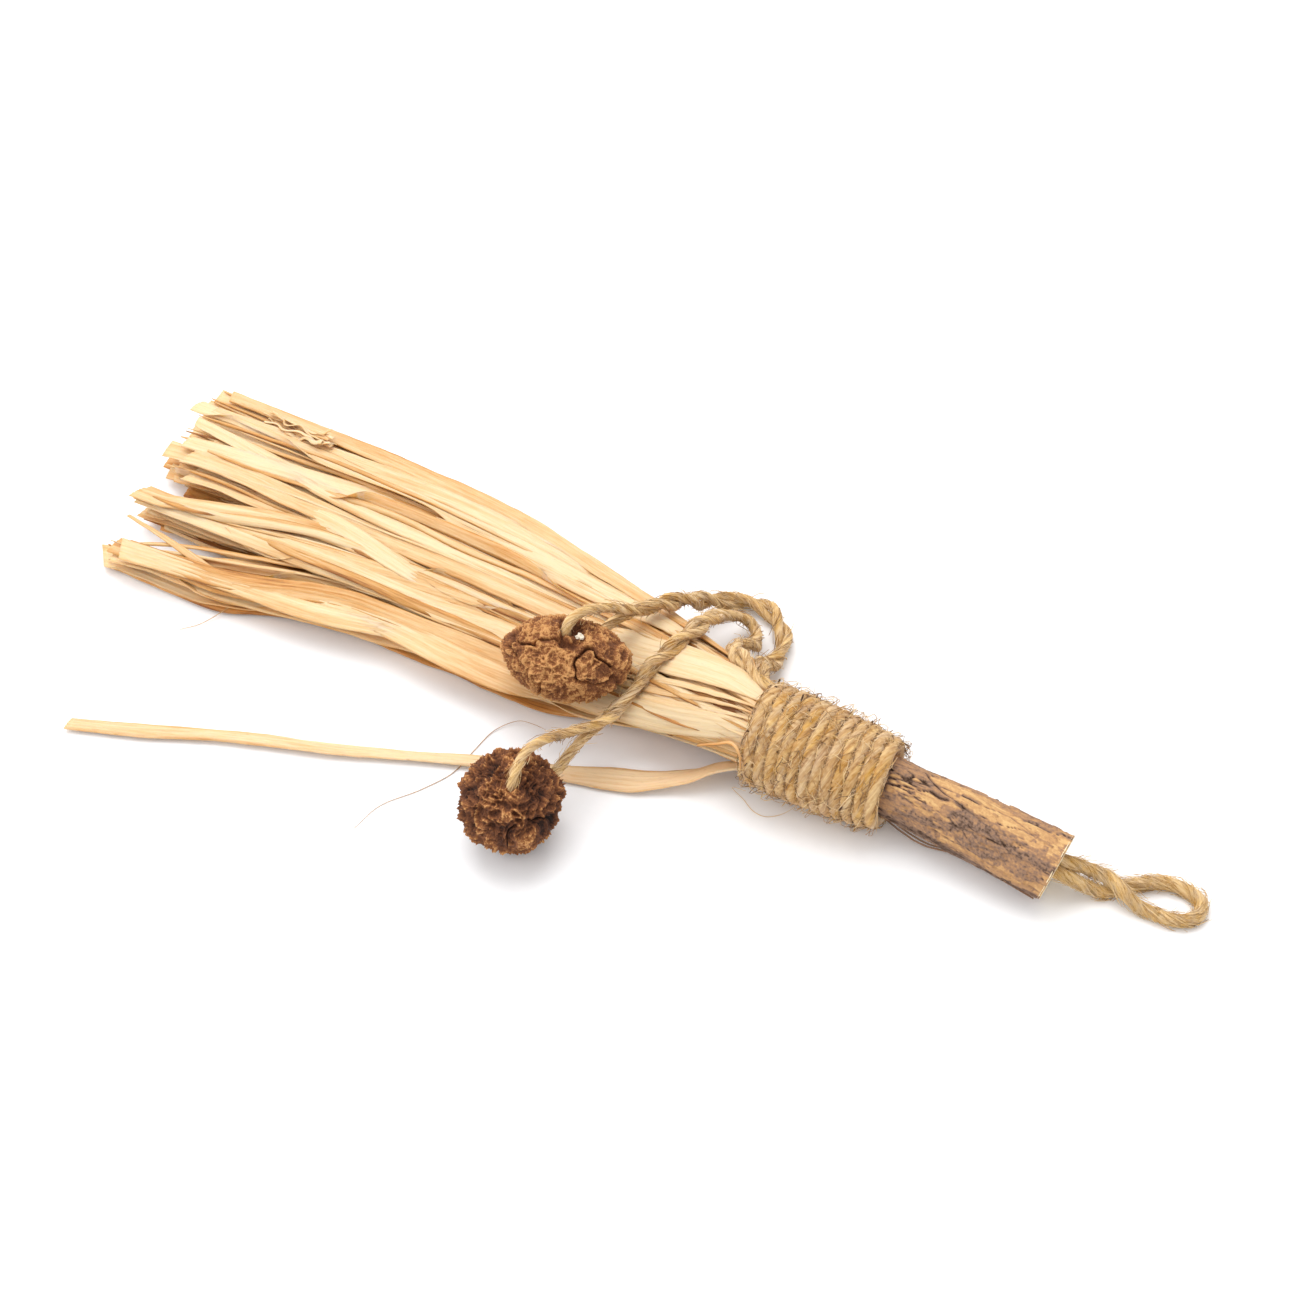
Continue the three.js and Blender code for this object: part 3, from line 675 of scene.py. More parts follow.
def stick_pieces(materials):
    """The bark is a grid over angle and distance; the last ring slides along the axis on to the saw cut. The
    sawn face is the same ring drawn in to the middle, dished where the loop goes in."""
    wood = bpy.context.scene.whisk_wood
    stations = np.concatenate([np.linspace(STICK_ROOT, 25, 8), np.linspace(25.4, STICK_END, 250)])
    x, angle = np.meshgrid(stations, np.arange(STICK_CORNERS) * 2 * np.pi / STICK_CORNERS, indexing="ij")
    height, *look = bark_relief(x, angle, wood.fissure / MM)
    # The bark is smooth under the wrap and lower at the saw cut.
    shown = eased(x, *BARK_SHOWS)
    radius = stick_radius(x, angle) + height * shown * (1 - 0.75 * eased(x, STICK_END - 0.8, STICK_END))
    across = np.stack([0 * x, np.cos(angle), np.sin(angle)], -1) * radius[..., None]
    slide = -(across @ SAW_NORMAL) / SAW_NORMAL[0] * eased(x, STICK_END - 14, STICK_END)
    rings = stick_axis(x) + across
    rings[..., 0] += slide
    grain = np.stack([BARK_ROUND * np.cos(angle), BARK_ROUND * np.sin(angle), x * 0.4], -1)
    bark = Shell().add(above_floor(rings)[None], bark_tone(look, x, angle)[None], grain[None])
    made = bark.made("bark_stick", materials["bark"])

    rim = rings[-1]
    middle = stick_axis(STICK_END)
    inward = np.concatenate([[1.0], np.linspace(0.985, 0.03, 46)])[:, None]
    disc = middle + (rim - middle)[None] * inward[..., None]
    holes = [np.array([STICK_END, y, z]) for y, z in LOOP_HOLE]
    away = [np.linalg.norm((disc - hole)[..., 1:], axis=-1) for hole in holes]
    dish = sum(np.exp(-((gap / LOOP_HOLE_RADIUS) ** 4)) for gap in away)
    disc[..., 0] += 0.12 - 2.6 * np.clip(dish, 0, 1) + 0.05 * rough(disc / (0.3, 0.3, 1.4), 71)
    disc[0, :, 0] -= 0.5
    # Painted shade: the face darkens into the dished holes where the loop goes in.
    tone = np.clip(0.8 - 0.9 * dish + 0.12 * rough(disc / 0.6, 73), 0, 1)
    face = Shell().add(disc[None], tone[None], disc[None])
    sawn = face.made("sawn_end", materials["sawn"])

    sliver_line = smooth_line(SLIVER_ROUTE, 14)
    slivers = Shell()
    for seed, shift, width in SLIVER_STRANDS:
        line = sliver_line + np.array(shift)
        rings, tone, grain = ribbon(line, (0, 0.45, 1), width, 0.16, seed, tone=0.35, curl=0.2)
        slivers.add(above_floor(rings), tone, grain)
    sliver = slivers.made("bark_sliver", materials["bark"])
    return made, sawn, sliver


# Wrap --------------------------------------------------------------------------------------------


def wrap_line():
    """The twine's middle line round the bundle: a screw whose pitch is the wrap's length over its turns, on
    the barrel's profile. Each turn leans by a cosine of its angle, noise keeps the turns from lying quite
    even, and both ends dive under the turns beside them."""
    angle = np.linspace(0, WRAP_TURNS * 2 * np.pi, WRAP_TURNS * 150)
    share = angle / angle[-1]
    uneven = 0.28 * line_noise(angle / 2.1, 5)
    x = (
        WRAP_START + (WRAP_END - WRAP_START) * share + 0.55 * np.cos(angle - 0.7) * (1 - share)
        + uneven * np.minimum(1, 6 * (1 - share))
    )
    radius = np.interp(x, WRAP_ALONG, WRAP_RADIUS) - LOOP_TWINE / 2 + 0.25 + 0.16 * line_noise(angle / 1.3, 6)
    radius = radius - 1.9 * (1 - eased(angle, 0, 1.6)) - 2.4 * (1 - eased(angle[-1] - angle, 0, 1.4))
    angle = angle + np.pi  # both ends lie underneath
    return np.stack([x, -radius * np.sin(angle), axis_height(x) + radius * np.cos(angle)], -1)


def wrap_pieces(materials):
    """The turns of twine on a sleeve that closes the gaps between them, the fibres that run along the turns,
    and the loose hairs that lie across them, as three pieces. The sleeve is dark: painted shade in the gaps
    between the turns. A hair is a line over angle and distance on the wrap's barrel; its lift is a random
    number to the power nine, so few stand up, times a sine of its length."""
    twine = bpy.context.scene.whisk_twine
    rng = np.random.default_rng(31)
    line = wrap_line()
    shell = Shell()
    rings, tone, grain = twine_rings(
        evenly(line, 0.55), LOOP_TWINE * 1.2, WRAP_LAY, 7, corners=18, ply_depth=0.05
    )
    shell.add(above_floor(rings), tone, grain)
    x = np.linspace(*SLEEVE_ENDS, 40)[:, None]
    angle = np.arange(48)[None] * 2 * np.pi / 48
    radius = np.interp(x, WRAP_ALONG, WRAP_RADIUS) - SLEEVE_DEPTH + 0.1 * np.sin(9 * angle)
    sleeve = np.stack([x + 0 * angle, radius * np.cos(angle), axis_height(x) + radius * np.sin(angle)], -1)
    # Painted shade: the sleeve's low tone is dark, and it shows in the gaps between the turns.
    shell.add(sleeve[None], 0.12, sleeve[None])
    turns = shell.made("twine_wrap_turns", materials["jute"])

    fibres = Shell()
    thick = twine.fibre / MM
    lines = fibres_on(line, LOOP_TWINE * 1.08, 24.0, twine.fibres, rng, reach=(5, 16), stray=0.1, lift=1.1)
    add_fibres(fibres, lines, thick, rng)
    made = fibres.made("twine_wrap_fibres", materials["fibre"])
    # Long thin hairs in open curls, and short thick dark bits of husk among them.
    hairs = Shell()
    kinds = (WRAP_HAIRS, 1.0, 0.95, 0.0, 1.05), (WRAP_HUSKS, 0.14, 2.2, -0.6, -0.3)
    for count, across, thickness, low, high in kinds:
        share = np.linspace(0, 1, FIBRE_STEPS)[None]
        start_x = rng.uniform(0.2, 29.2, (count, 1))
        start_turn = rng.uniform(0, 2 * np.pi, (count, 1))
        bend = across * rng.uniform(-0.16, 0.16, (count, 1)) * np.sin(share * rng.uniform(2, 7, (count, 1)))
        turn = start_turn + across * rng.uniform(-0.6, 0.6, (count, 1)) * share + bend
        x = start_x + across * (rng.normal(0, 3.2, (count, 1)) * share + 0.7 * np.sin(share * 5 + start_turn))
        lift = (
            rng.uniform(-0.12, 0.22, (count, 1))
            + rng.uniform(0, 1, (count, 1)) ** 9 * 2.4 * np.sin(share * np.pi) ** 1.5
        )
        radius = np.interp(x, WRAP_ALONG, WRAP_RADIUS) + lift
        place = np.stack(
            [np.clip(x, 0.1, 30.3), -radius * np.sin(turn), axis_height(x) + radius * np.cos(turn)], -1
        )
        add_fibres(hairs, above_floor(place), thick * thickness, rng, low, high)
    return turns, made, hairs.made("twine_wrap_hairs", materials["fibre"])


# Raffia ------------------------------------------------------------------------------------------


def far_edge(t):
    """y of the fan's far edge, t being the share of its length: it opens quickly and then runs straight."""
    return 8 + 33 * (1 - np.exp(-t / 0.36))


def near_edge(t):
    """y of the fan's near edge: almost in line with the handle, and turned out only at the tips."""
    return -8 + 0.6 * eased(t, 0, 0.3) - 7 * t**6


def fan_place(sheet, share, x):
    """A point of a sheet, as a function of its share of the sheet's width and of x. Under the wrap the sheet
    is half a round; it opens by an eased curve into a flat layer whose edges are far_edge and near_edge."""
    side, radius, level, _, wrap, fan = sheet
    share, x = np.broadcast_arrays(np.asarray(share, float), np.asarray(x, float))
    t = np.clip(-x / FAN_LENGTH, 0, 1.05)
    opened = eased(t, 0, FAN_OPEN)
    u = mixed(mixed(wrap[0], wrap[1], share), mixed(fan[0], fan[1], share), opened)
    turn = u * np.pi / 2
    half_width = (far_edge(t) - near_edge(t)) / 2
    reach = half_width * mixed(radius / 8, 1, opened)
    y = (far_edge(t) + near_edge(t)) / 2 + reach * mixed(np.sin(turn), u, opened)
    bundle = axis_height(np.maximum(x, 0)) + side * radius * np.cos(turn)
    crown = (0.25 + 0.35 * level) * (1 - u * u)
    ripple = 0.3 * np.sin(x / 17 + 5 * u + 2 * level) * (1 - u**4)
    flat = 0.75 + level * (1.6 - 0.5 * t) + crown + ripple
    return np.stack([x, y, mixed(bundle, flat, opened)], -1)


def scattered(first, second):
    """A number from 0 to 1 that is always the same for the same two whole numbers."""
    value = math.sin(first * 127.1 + second * 311.7) * 43758.5453
    return value - math.floor(value)


def ribbon(
    line, level, width, thick, seed, tone=0.5, curl=0.5, pleat=0.3, twist=0.0, fold=0.0, columns=11,
    slant=0.0, pointed=0.0,
):
    """A strip of raffia as closed rings. Across it, v runs from -1 to 1: its middle stands proud by curl(1 -
    v²), pleats are a triangle wave of v that drifts along the strip, and a fold turns the outer part of one
    side over by an angle. The whole section turns about the line by twist radians times noise, and narrows to
    both ends over the pointed length."""
    rows = len(line)
    along = distances(line)
    ahead = unit(np.gradient(line, axis=0))
    level = np.broadcast_to(np.asarray(level, float), line.shape)
    across = unit(level - ahead * (level * ahead).sum(-1, keepdims=True))
    upright = np.cross(ahead, across)
    turned = (twist * line_noise(along / 26 + 0.5, seed))[:, None]
    cosine, sine = np.cos(turned), np.sin(turned)
    across, upright = across * cosine + upright * sine, upright * cosine - across * sine
    v = np.linspace(-1, 1, columns)[None]
    half = (np.broadcast_to(width, rows) / 2 * (1 + 0.14 * line_noise(along / 9, seed + 1)))[:, None]
    if pointed:
        half = half * (0.12 + 0.88 * eased(np.minimum(along, along[-1] - along), 0, pointed) ** 0.8)[:, None]
    edge = 0.1 * line_noise(along / 2.2, seed + 2)[:, None] * np.abs(v) ** 3
    wave = v * 2.3 + 0.8 * line_noise(along / 30, seed + 3)[:, None] + scattered(seed, 4)
    pleats = 2 * np.abs(2 * (wave - np.floor(wave + 0.5))) - 1
    strength = 0.55 + 0.45 * line_noise(along / 15, seed + 5)[:, None]
    out = half * v + edge
    up = np.minimum(curl, half * 0.8) * (1 - v * v) * (0.8 + 0.5 * line_noise(along / 20, seed + 6)[:, None])
    up = up + np.minimum(pleat, half * 0.3) * strength * pleats
    if fold:
        # The part past v = 0.2 turns over on to the rest.
        past = np.maximum(v - 0.2, 0) * half
        angle = fold * eased(line_noise(along / 22, seed + 7)[:, None], -0.4, 0.3)
        out = out - past * (1 - np.cos(angle))
        up = up + past * np.sin(angle)
    lower, upper = up - thick / 2, up + thick / 2
    section_out = np.concatenate([out, out[:, ::-1]], 1)
    section_up = np.concatenate([lower, upper[:, ::-1]], 1)
    slip = slant * half * (along / along[-1])[:, None] ** 30 * section_out / np.maximum(half, 0.1)
    rings = (
        line[:, None]
        + across[:, None] * section_out[..., None]
        + upright[:, None] * section_up[..., None]
        + ahead[:, None] * slip[..., None]
    )
    spread = np.concatenate([v, v[:, ::-1]], 1) * half
    offset = scattered(seed, 8) * 90
    grain = np.stack(
        [spread + offset, 0 * spread + offset * 0.3, np.broadcast_to(along[:, None] * 0.05, spread.shape)], -1
    )
    streak = rough(grain * (1.7, 1, 1), seed + 9)
    # Painted shade: the tone is darker in the pleats' valleys and towards the strip's edges.
    valley = -pleats * strength
    shade = 0.09 * np.concatenate([valley, valley[:, ::-1]], 1) * min(1, pleat * 3)
    shade = shade + 0.2 * np.concatenate([v, v[:, ::-1]], 1) ** 6 - 0.03
    tones = np.clip(tone + 0.13 * streak + shade + 0.1 * line_noise(along / 25, seed + 10)[:, None], 0, 1)
    return rings[None], tones[None], grain[None]


def strip_piece(name, sheet, index, materials):
    """One strip of a sheet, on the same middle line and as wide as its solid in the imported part."""
    raffia = bpy.context.scene.whisk_raffia
    level, count = sheet[2], sheet[3]
    seed = index + 10 * level
    middle = (index + 0.5) / count
    widest = mixed(3.2, 5.4, scattered(seed, 1))
    tip = -FAN_LENGTH + mixed(-3.5, 6, scattered(seed, 2))
    x = np.linspace(STRIP_ROOT, tip, STRIP_ROWS)
    t = np.clip(-x / FAN_LENGTH, 0, 1)
    room = 0.5 / count
    speed = np.linalg.norm(fan_place(sheet, middle + 0.01, x) - fan_place(sheet, middle - 0.01, x), axis=1)
    width = mixed(2.5, widest, eased(t, 0.02, 0.3)) * mixed(1, 0.8, eased(t, 0.8, 1))
    half = np.minimum(width / 2 * 0.02 / speed, room * 0.9)
    slack = room * 0.95 - half
    centre = middle + slack * np.sin(x / mixed(18, 34, scattered(seed, 3)) + 7 * seed) * t
    near, far = fan_place(sheet, centre - half, x), fan_place(sheet, centre + half, x)
    line = (near + far) / 2
    loose = eased(t, 0.08, 0.5)
    line[:, 1] += 1.7 * loose * line_noise(x / 36, seed + 40)
    line[:, 2] += 0.45 * loose * line_noise(x / 24, seed + 41)
    line = parted(line)
    tone = STRIP_TONES[int(scattered(seed, 6) * len(STRIP_TONES))]
    # Painted shade: the lower sheets are darker, less so at their outer strips.
    tone = tone + SHEET_PAINTED_SHADE[level] * (1 - abs(2 * middle - 1) ** 3)
    # More amber along the fan's near edge, and paler towards the tips.
    near_side = eased(-line[:, 1], 2, 12) * eased(t, 0.25, 0.5)
    tone = (tone + 0.16 * near_side - 0.14 * eased(t, 0.7, 1))[:, None]
    wide = np.linalg.norm(far - near, axis=1) * (1.15 + 0.25 * eased(t, 0.1, 0.3))
    folded = FOLD_ANGLE if scattered(seed, 7) > 1 - FOLDED_SHARE else 0.0
    rings, tones, grain = ribbon(
        line, near - far, wide, raffia.thickness / MM, seed + 100, tone,
        curl=raffia.curl / MM * mixed(-0.4, 1.2, scattered(seed, 9)), pleat=raffia.pleat / MM,
        twist=mixed(0.15, 0.75, scattered(seed, 10) ** 2),
        fold=folded,
        columns=13,
        slant=mixed(-0.6, 0.6, scattered(seed, 11)),
    )
    made = Shell().add(above_floor(rings), tones, grain).made(name, materials["raffia"])
    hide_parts(name.replace("strip_", "raffia_"))
    return made


def parted(line):
    """Moves a strip's line sideways where the fan splits near its tips, to the side of the split that its tip
    is on. By the tips, along an eased curve, every line is at least the push away from the split."""
    for split, begins, push in SPLITS:
        away = line[:, 1] - split
        opened = eased(-line[:, 0], begins, begins + SPLIT_OPENING)
        line[:, 1] += math.copysign(1, away[-1]) * opened * np.maximum(push - np.abs(away), 0)
    return line


def stray_piece(materials):
    """The strip that left the fan: flat, pale and wide beside the wrap, then narrower and riper to its
    tip."""
    knots = np.array(STRAY_ROUTE, float)
    line = evenly(smooth_line(knots, 20), 0.9)
    along, at = distances(smooth_line(knots, 1)), distances(line)
    width = np.interp(at / at[-1], along / along[-1], STRAY_WIDTHS)
    tone = 0.26 * (at / at[-1])[:, None]
    rings, tones, grain = ribbon(
        line, (-0.1, -1, 0.25), width, 0.5, 77, tone, curl=0.25, pleat=0.4, twist=0.35, columns=13, slant=0.3
    )
    made = Shell().add(above_floor(rings), tones, grain).made("strip_stray", materials["raffia"])
    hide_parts("raffia_stray")
    return made


def shred_piece(materials):
    """Thin shreds and split fibres all through the fan, as one mesh. Each starts and stops at its own x,
    keeps near one share of one sheet, and drifts across it."""
    raffia = bpy.context.scene.whisk_raffia
    rng = np.random.default_rng(8)
    names = list(SHEETS)
    shell = Shell()
    for number in range(int(raffia.shreds)):
        sheet = SHEETS[names[int(rng.uniform() ** 1.6 * 6)]]
        start = mixed(10, -70, rng.uniform() ** 2.2)
        end = mixed(-FAN_LENGTH - 2, start - 30, rng.uniform() ** 3)
        x = np.linspace(start, end, 60)
        share = rng.uniform(0.03, 0.97) + rng.uniform(-0.1, 0.1) * np.linspace(0, 1, 60)
        line = fan_place(sheet, np.clip(share, 0.01, 0.99), x)
        line[:, 1] += 0.7 * line_noise(x / 19, number + 300) * eased(-x, 5, 40)
        line[:, 2] += rng.uniform(0.0, 0.8) + 0.3 * line_noise(x / 17, number + 500)
        line = parted(line)
        width = mixed(0.35, 2.4, rng.uniform() ** 1.4)
        rings, tones, grain = ribbon(
            line, (0, -1, 0), width, 0.16, number + 700, rng.uniform(0.1, 0.85), curl=0.3, pleat=0.12,
            twist=rng.uniform(0.2, 1.3), columns=5, pointed=9.0,
        )
        shell.add(above_floor(rings), tones, grain)
    return shell.made("raffia_shreds", materials["raffia"])


LEAF_DIVE = 2.4  # how far a leaf's end that isn't at the tips goes down between the strips
TIPS = -130  # a leaf whose last x is less than this runs to the fan's tips
# Broad leaves and marked strips that lie on top of the sheets, and two dark ribbons laid lower between the
# strips as painted shade in the gaps: route (x, y and height above the sheets), widths, tone, curl and twist.
LEAVES = [
    (
        [
            (8, 1.5, 0.2), (0, 2.2, 0.4), (-8, 4.2, 0.7), (-20, 5.6, 0.9), (-31, 7.0, 1.0), (-46, 9.0, 0.9),
            (-70, 12.5, 0.4),
        ],
        [4.0, 5.0, 7.2, 8.2, 7.6, 5.4, 3.2], 0.05, 0.3, 0.1,
    ),
    (
        [
            (8, -5.4, 0.2), (0, -5.6, 0.4), (-8, -6.0, 0.6), (-18, -6.4, 0.8), (-30, -6.2, 0.8),
            (-44, -5.4, 0.7), (-62, -3.6, 0.3),
        ],
        [3.0, 4.0, 6.0, 6.8, 6.4, 5.2, 3.0], 0.08, 0.35, 0.12,
    ),
    (
        [
            (-14, 11.0, 0.3), (-24, 14.4, 0.8), (-36, 17.8, 1.0), (-52, 20.8, 1.0), (-70, 23.4, 0.9),
            (-90, 24.6, 0.8), (-112, 23.2, 0.6), (-146.5, 20.5, 0.4),
        ],
        [2.6, 4.0, 5.2, 6.2, 6.4, 6.0, 5.0, 3.6], 0.04, 0.45, 0.15,
    ),
    (
        [
            (-30, 10.4, 0.3), (-44, 13.2, 0.8), (-60, 15.4, 0.9), (-80, 18.0, 0.8), (-104, 19.8, 0.6),
            (-147.5, 27.0, 0.4),
        ],
        [2.6, 4.4, 5.2, 5.4, 4.6, 3.2], 0.1, 0.4, 0.15,
    ),
    (
        [
            (-70, 4.4, 0.2), (-80, 6.6, 0.8), (-89, 8.8, 1.1), (-99, 11.3, 1.1), (-110, 13.8, 0.8),
            (-120, 16.0, 0.1),
        ],
        [2.0, 3.6, 4.6, 4.8, 4.0, 2.4], 0.12, 0.35, 0.2,
    ),
    (
        [
            (-40, -6.8, 0.2), (-52, -8.4, 0.5), (-66, -7.8, 0.7), (-80, -6.0, 0.7), (-94, -5.2, 0.6),
            (-112, -4.6, 0.3),
        ],
        [3.0, 5.2, 6.2, 5.8, 4.6, 3.0], 0.3, 0.5, 0.2,
    ),
    (
        [
            (-54, 6.4, 0.3), (-70, 6.2, 0.7), (-84, 5.6, 0.8), (-98, 5.0, 0.7), (-112, 5.0, 0.6),
            (-128, 3.6, 0.4), (-148.2, 4.2, 0.3),
        ],
        [2.4, 3.4, 4.2, 4.2, 4.0, 4.2, 4.6], 0.45, 0.4, 0.2,
    ),
    (
        [
            (-62, -2.0, 0.4), (-80, -6.0, 0.6), (-98, -9.0, 0.5), (-112, -9.8, 0.5), (-126, -10.0, 0.5),
            (-144.6, -11.2, 0.5),
        ],
        [2.4, 4.2, 4.4, 4.0, 4.2, 5.6], 0.26, 0.35, 0.12,
    ),
    (
        [(-116, -9.0, 0.6), (-128, -7.2, 0.6), (-138, -4.8, 0.6), (-147.4, -3.0, 0.6)],
        [2.0, 1.8, 1.3, 0.8], 0.5, 0.15, 0.2,
    ),
    (
        [
            (6, 6.4, 0.2), (-2, 8.2, 0.4), (-12, 12.6, 0.5), (-26, 19.0, 0.5), (-44, 25.4, 0.5),
            (-66, 31.0, 0.5), (-96, 35.0, 0.5), (-145, 37.6, 0.4),
        ],
        [1.6, 2.0, 2.6, 3.4, 4.2, 4.6, 4.8, 3.4], 0.42, 0.4, 0.3,
    ),
    (
        [(-40, 22.4, 0.2), (-60, 27.2, 0.6), (-84, 30.4, 0.7), (-112, 31.2, 0.6), (-146, 31.6, 0.3)],
        [2.6, 4.4, 4.8, 4.6, 3.0], 0.2, 0.4, 0.25,
    ),
    (
        [(-24, 1.6, 0.4), (-42, 2.4, 0.8), (-62, 2.6, 0.8), (-84, 1.6, 0.7), (-104, 1.2, 0.3)],
        [2.4, 3.8, 4.4, 4.2, 2.6], 0.26, 0.4, 0.25,
    ),
    # A dark ribbon, lower than the narrow strips over it: painted shade in the gaps between them.
    (
        [(2, -2.0, -0.5), (-8, -1.8, 0.0), (-18, -1.6, 0.2), (-28, -1.2, 0.2), (-36, -0.8, -0.4)],
        [3.4, 4.6, 5.0, 4.4, 2.0], 1.0, 0.1, 0.1,
    ),
    (
        [(4, -0.9, 0.2), (-8, -0.6, 0.8), (-18, 0.0, 1.1), (-30, 0.4, 1.1), (-44, 1.0, 0.4)],
        [0.9, 1.3, 1.4, 1.5, 1.0], 0.3, 0.1, 0.3,
    ),
    (
        [(4, -2.2, 0.3), (-8, -2.2, 0.9), (-18, -2.4, 1.2), (-30, -1.8, 1.1), (-44, -0.8, 0.4)],
        [0.8, 1.0, 1.2, 1.3, 0.9], 0.42, 0.1, 0.3,
    ),
    (
        [(4, -3.4, 0.2), (-8, -3.7, 0.9), (-18, -4.0, 1.2), (-30, -3.7, 1.1), (-44, -2.4, 0.4)],
        [0.9, 1.1, 1.1, 1.2, 0.9], 0.2, 0.1, 0.3,
    ),
    # A dark ribbon near the mouth: painted shade in a gap between the strips.
    (
        [(4, 6.6, 0.0), (-8, 8.6, 0.3), (-18, 11.4, 0.4), (-30, 14.6, 0.4), (-40, 17.2, -0.3)],
        [1.6, 2.0, 2.2, 2.0, 1.0], 0.98, 0.1, 0.1,
    ),
]


def laid_on_fan(line):
    """Raises each point of a line by the height of the fan's top under it, and gives the direction that is
    level across the fan there. Both come from the rows of the middle top sheet: the height at the point's y,
    and its slope."""
    shares = np.linspace(0, 1, 41)[None]
    rows = fan_place(SHEETS["top_middle"], shares, line[:, :1])
    height, slope = np.empty(len(line)), np.empty(len(line))
    for place, row in enumerate(rows):
        height[place] = np.interp(line[place, 1], row[:, 1], row[:, 2])
        slope[place] = np.interp(line[place, 1], row[:, 1], np.gradient(row[:, 2], row[:, 1]))
    slope = np.clip(slope, -1.6, 1.6)
    raised = line + np.stack([0 * height, 0 * height, height + 0.9], -1)
    return raised, unit(np.stack([0 * slope, -1 + 0 * slope, -slope], -1))


def leaf_piece(materials):
    """The leaves of the list above, each a ribbon on a smooth line, as one mesh. A leaf's ends go down between
    the strips by an eased curve, unless they are under the wrap or at the fan's tips."""
    shell = Shell()
    for number, (route, widths, tone, curl, twist) in enumerate(LEAVES):
        knots = np.array(route, float)
        line = evenly(smooth_line(knots, 20), 0.9)
        along, at = distances(knots), distances(line)
        width = np.interp(at / at[-1], along / along[-1], widths)
        line, level = laid_on_fan(line)
        for from_end, hidden in ((at, knots[0, 0] < 0), (at[-1] - at, knots[-1, 0] > TIPS)):
            line[:, 2] -= LEAF_DIVE * hidden * (1 - eased(from_end, 0, 15))
        rings, tones, grain = ribbon(
            line, level, width, 0.22, 900 + number * 13, tone, curl=curl, pleat=0.22, twist=twist, columns=15,
            slant=0.3 - 0.6 * (number % 2), pointed=0.0 if knots[-1, 0] < TIPS else 16.0,
        )
        shell.add(above_floor(rings), tones, grain)
    return shell.made("raffia_leaves", materials["raffia"])


def crinkled_piece(materials):
    """A fuzzy crinkled shred near the tips: thin ribbons on lines that wander by noise."""
    rng = np.random.default_rng(19)
    shell = Shell()
    for number in range(CRINKLE_RIBBONS):
        start = np.array(CRINKLE_ENDS[0]) + rng.normal(0, 0.7, 3)
        end = np.array(CRINKLE_ENDS[1]) + rng.normal(0, 1.0, 3)
        share = np.linspace(0, 1, 34)
        line = start + (end - start) * share[:, None]
        wander = [line_noise(share * 6, 60 + number + axis * 30) for axis in range(3)]
        line = line + np.array([1.4, 1.4, 0.6]) * np.stack(wander, -1)
        rings, tones, grain = ribbon(
            line, (0, -1, 0.4), rng.uniform(0.5, 1.3), 0.12, 60 + number, rng.uniform(0.1, 0.4), 0.2, 0.1,
            1.2, columns=5,
        )
        shell.add(above_floor(rings), tones, grain)
    return shell.made("raffia_crinkle", materials["raffia"])


# Galls -------------------------------------------------------------------------------------------


def gall_piece(key, materials):
    """A dried gall: an ellipsoid over longitude and latitude with broad lobes, covered in wrinkles. The
    wrinkles are (1 - |noise|)³ in two sizes, which gives thin sharp crests round pits, and (1 - |noise|)² for
    the finest. Deep folds lie where broad noise is near 0. A pit leads in where the cord enters and another
    where it leaves."""
    gall, cord = GALLS[key], GALL_CORDS[key]
    deep = bpy.context.scene.whisk_wood.wrinkle / MM
    x, y, z = globe(GALL_ROWS, GALL_CORNERS, 0.012)
    seed = gall["seed"]
    lobes = np.sin(3 * x + seed) * np.sin(3.4 * y + 2 * seed) * np.cos(2.6 * z)
    knobs = np.sin(7 * x - seed) * np.sin(6 * y + seed) * np.sin(6.5 * z + seed)
    ball = np.stack([x, y, z], -1) * (0.97 + 0.05 * lobes + 0.03 * knobs)[..., None] * np.array(gall["half"])
    outward = unit(np.stack([x, y, z], -1) / np.array(gall["half"]))
    bend = 0.75 * np.stack([rough(ball / 2.6, seed + axis * 5) for axis in range(3)], -1)
    crest = (1 - np.abs(rough(ball / gall["lump"] + bend * 0.8, seed))) ** 3
    small_crest = (1 - np.abs(rough(ball / (gall["lump"] * 0.48) + bend * 1.3, seed + 30))) ** 3
    fine = (1 - np.abs(rough(ball / 0.5 + bend, seed + 50))) ** 2
    fold = 1 - eased(np.abs(rough(ball / 7.5 + bend * 0.25, seed + 90)), 0.0, 0.13)
    fold = fold * eased(rough(ball / 6, seed + 95), -0.35, 0.15)
    height = deep * (gall["relief"] * (0.85 * crest + 0.6 * small_crest + 0.22 * fine - 0.85) - 1.3 * fold)
    height = height + 0.7 * rough(ball / 4.6, seed + 97)
    openings = [np.array(cord["bight"][3]), np.array(cord["bight"][-2])]
    turn = math.radians(gall["turn"])
    back = np.array([[math.cos(turn), math.sin(turn), 0], [-math.sin(turn), math.cos(turn), 0], [0, 0, 1]])
    pit = sum(np.exp(-((np.linalg.norm(ball - back @ spot, axis=-1) / PIT_RADIUS) ** 4)) for spot in openings)
    height = height * (1 - np.clip(pit, 0, 1)) - PIT_DEPTH * np.clip(pit, 0, 1) - 0.25
    rings = ball + outward * height[..., None]
    rings = rings @ back + np.array(cord["gall"])
    # The tone follows the relief: the dark in the folds and pits is painted shade, and the crests' lighter
    # colour is partly the gall's own and partly painted light.
    tone = 0.04 + 0.42 * crest + 0.4 * small_crest + 0.28 * fine - gall["dark"] * fold
    tone = np.clip(tone + 0.2 * rough(ball / 4, seed + 70) - 0.5 * pit, 0, 1)
    shell = Shell().add(above_floor(rings[::-1])[None], tone[::-1][None], ball[::-1][None])
    made = shell.made("wrinkled_gall_" + key, materials["gall_" + key])
    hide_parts("gall_" + key)
    return made


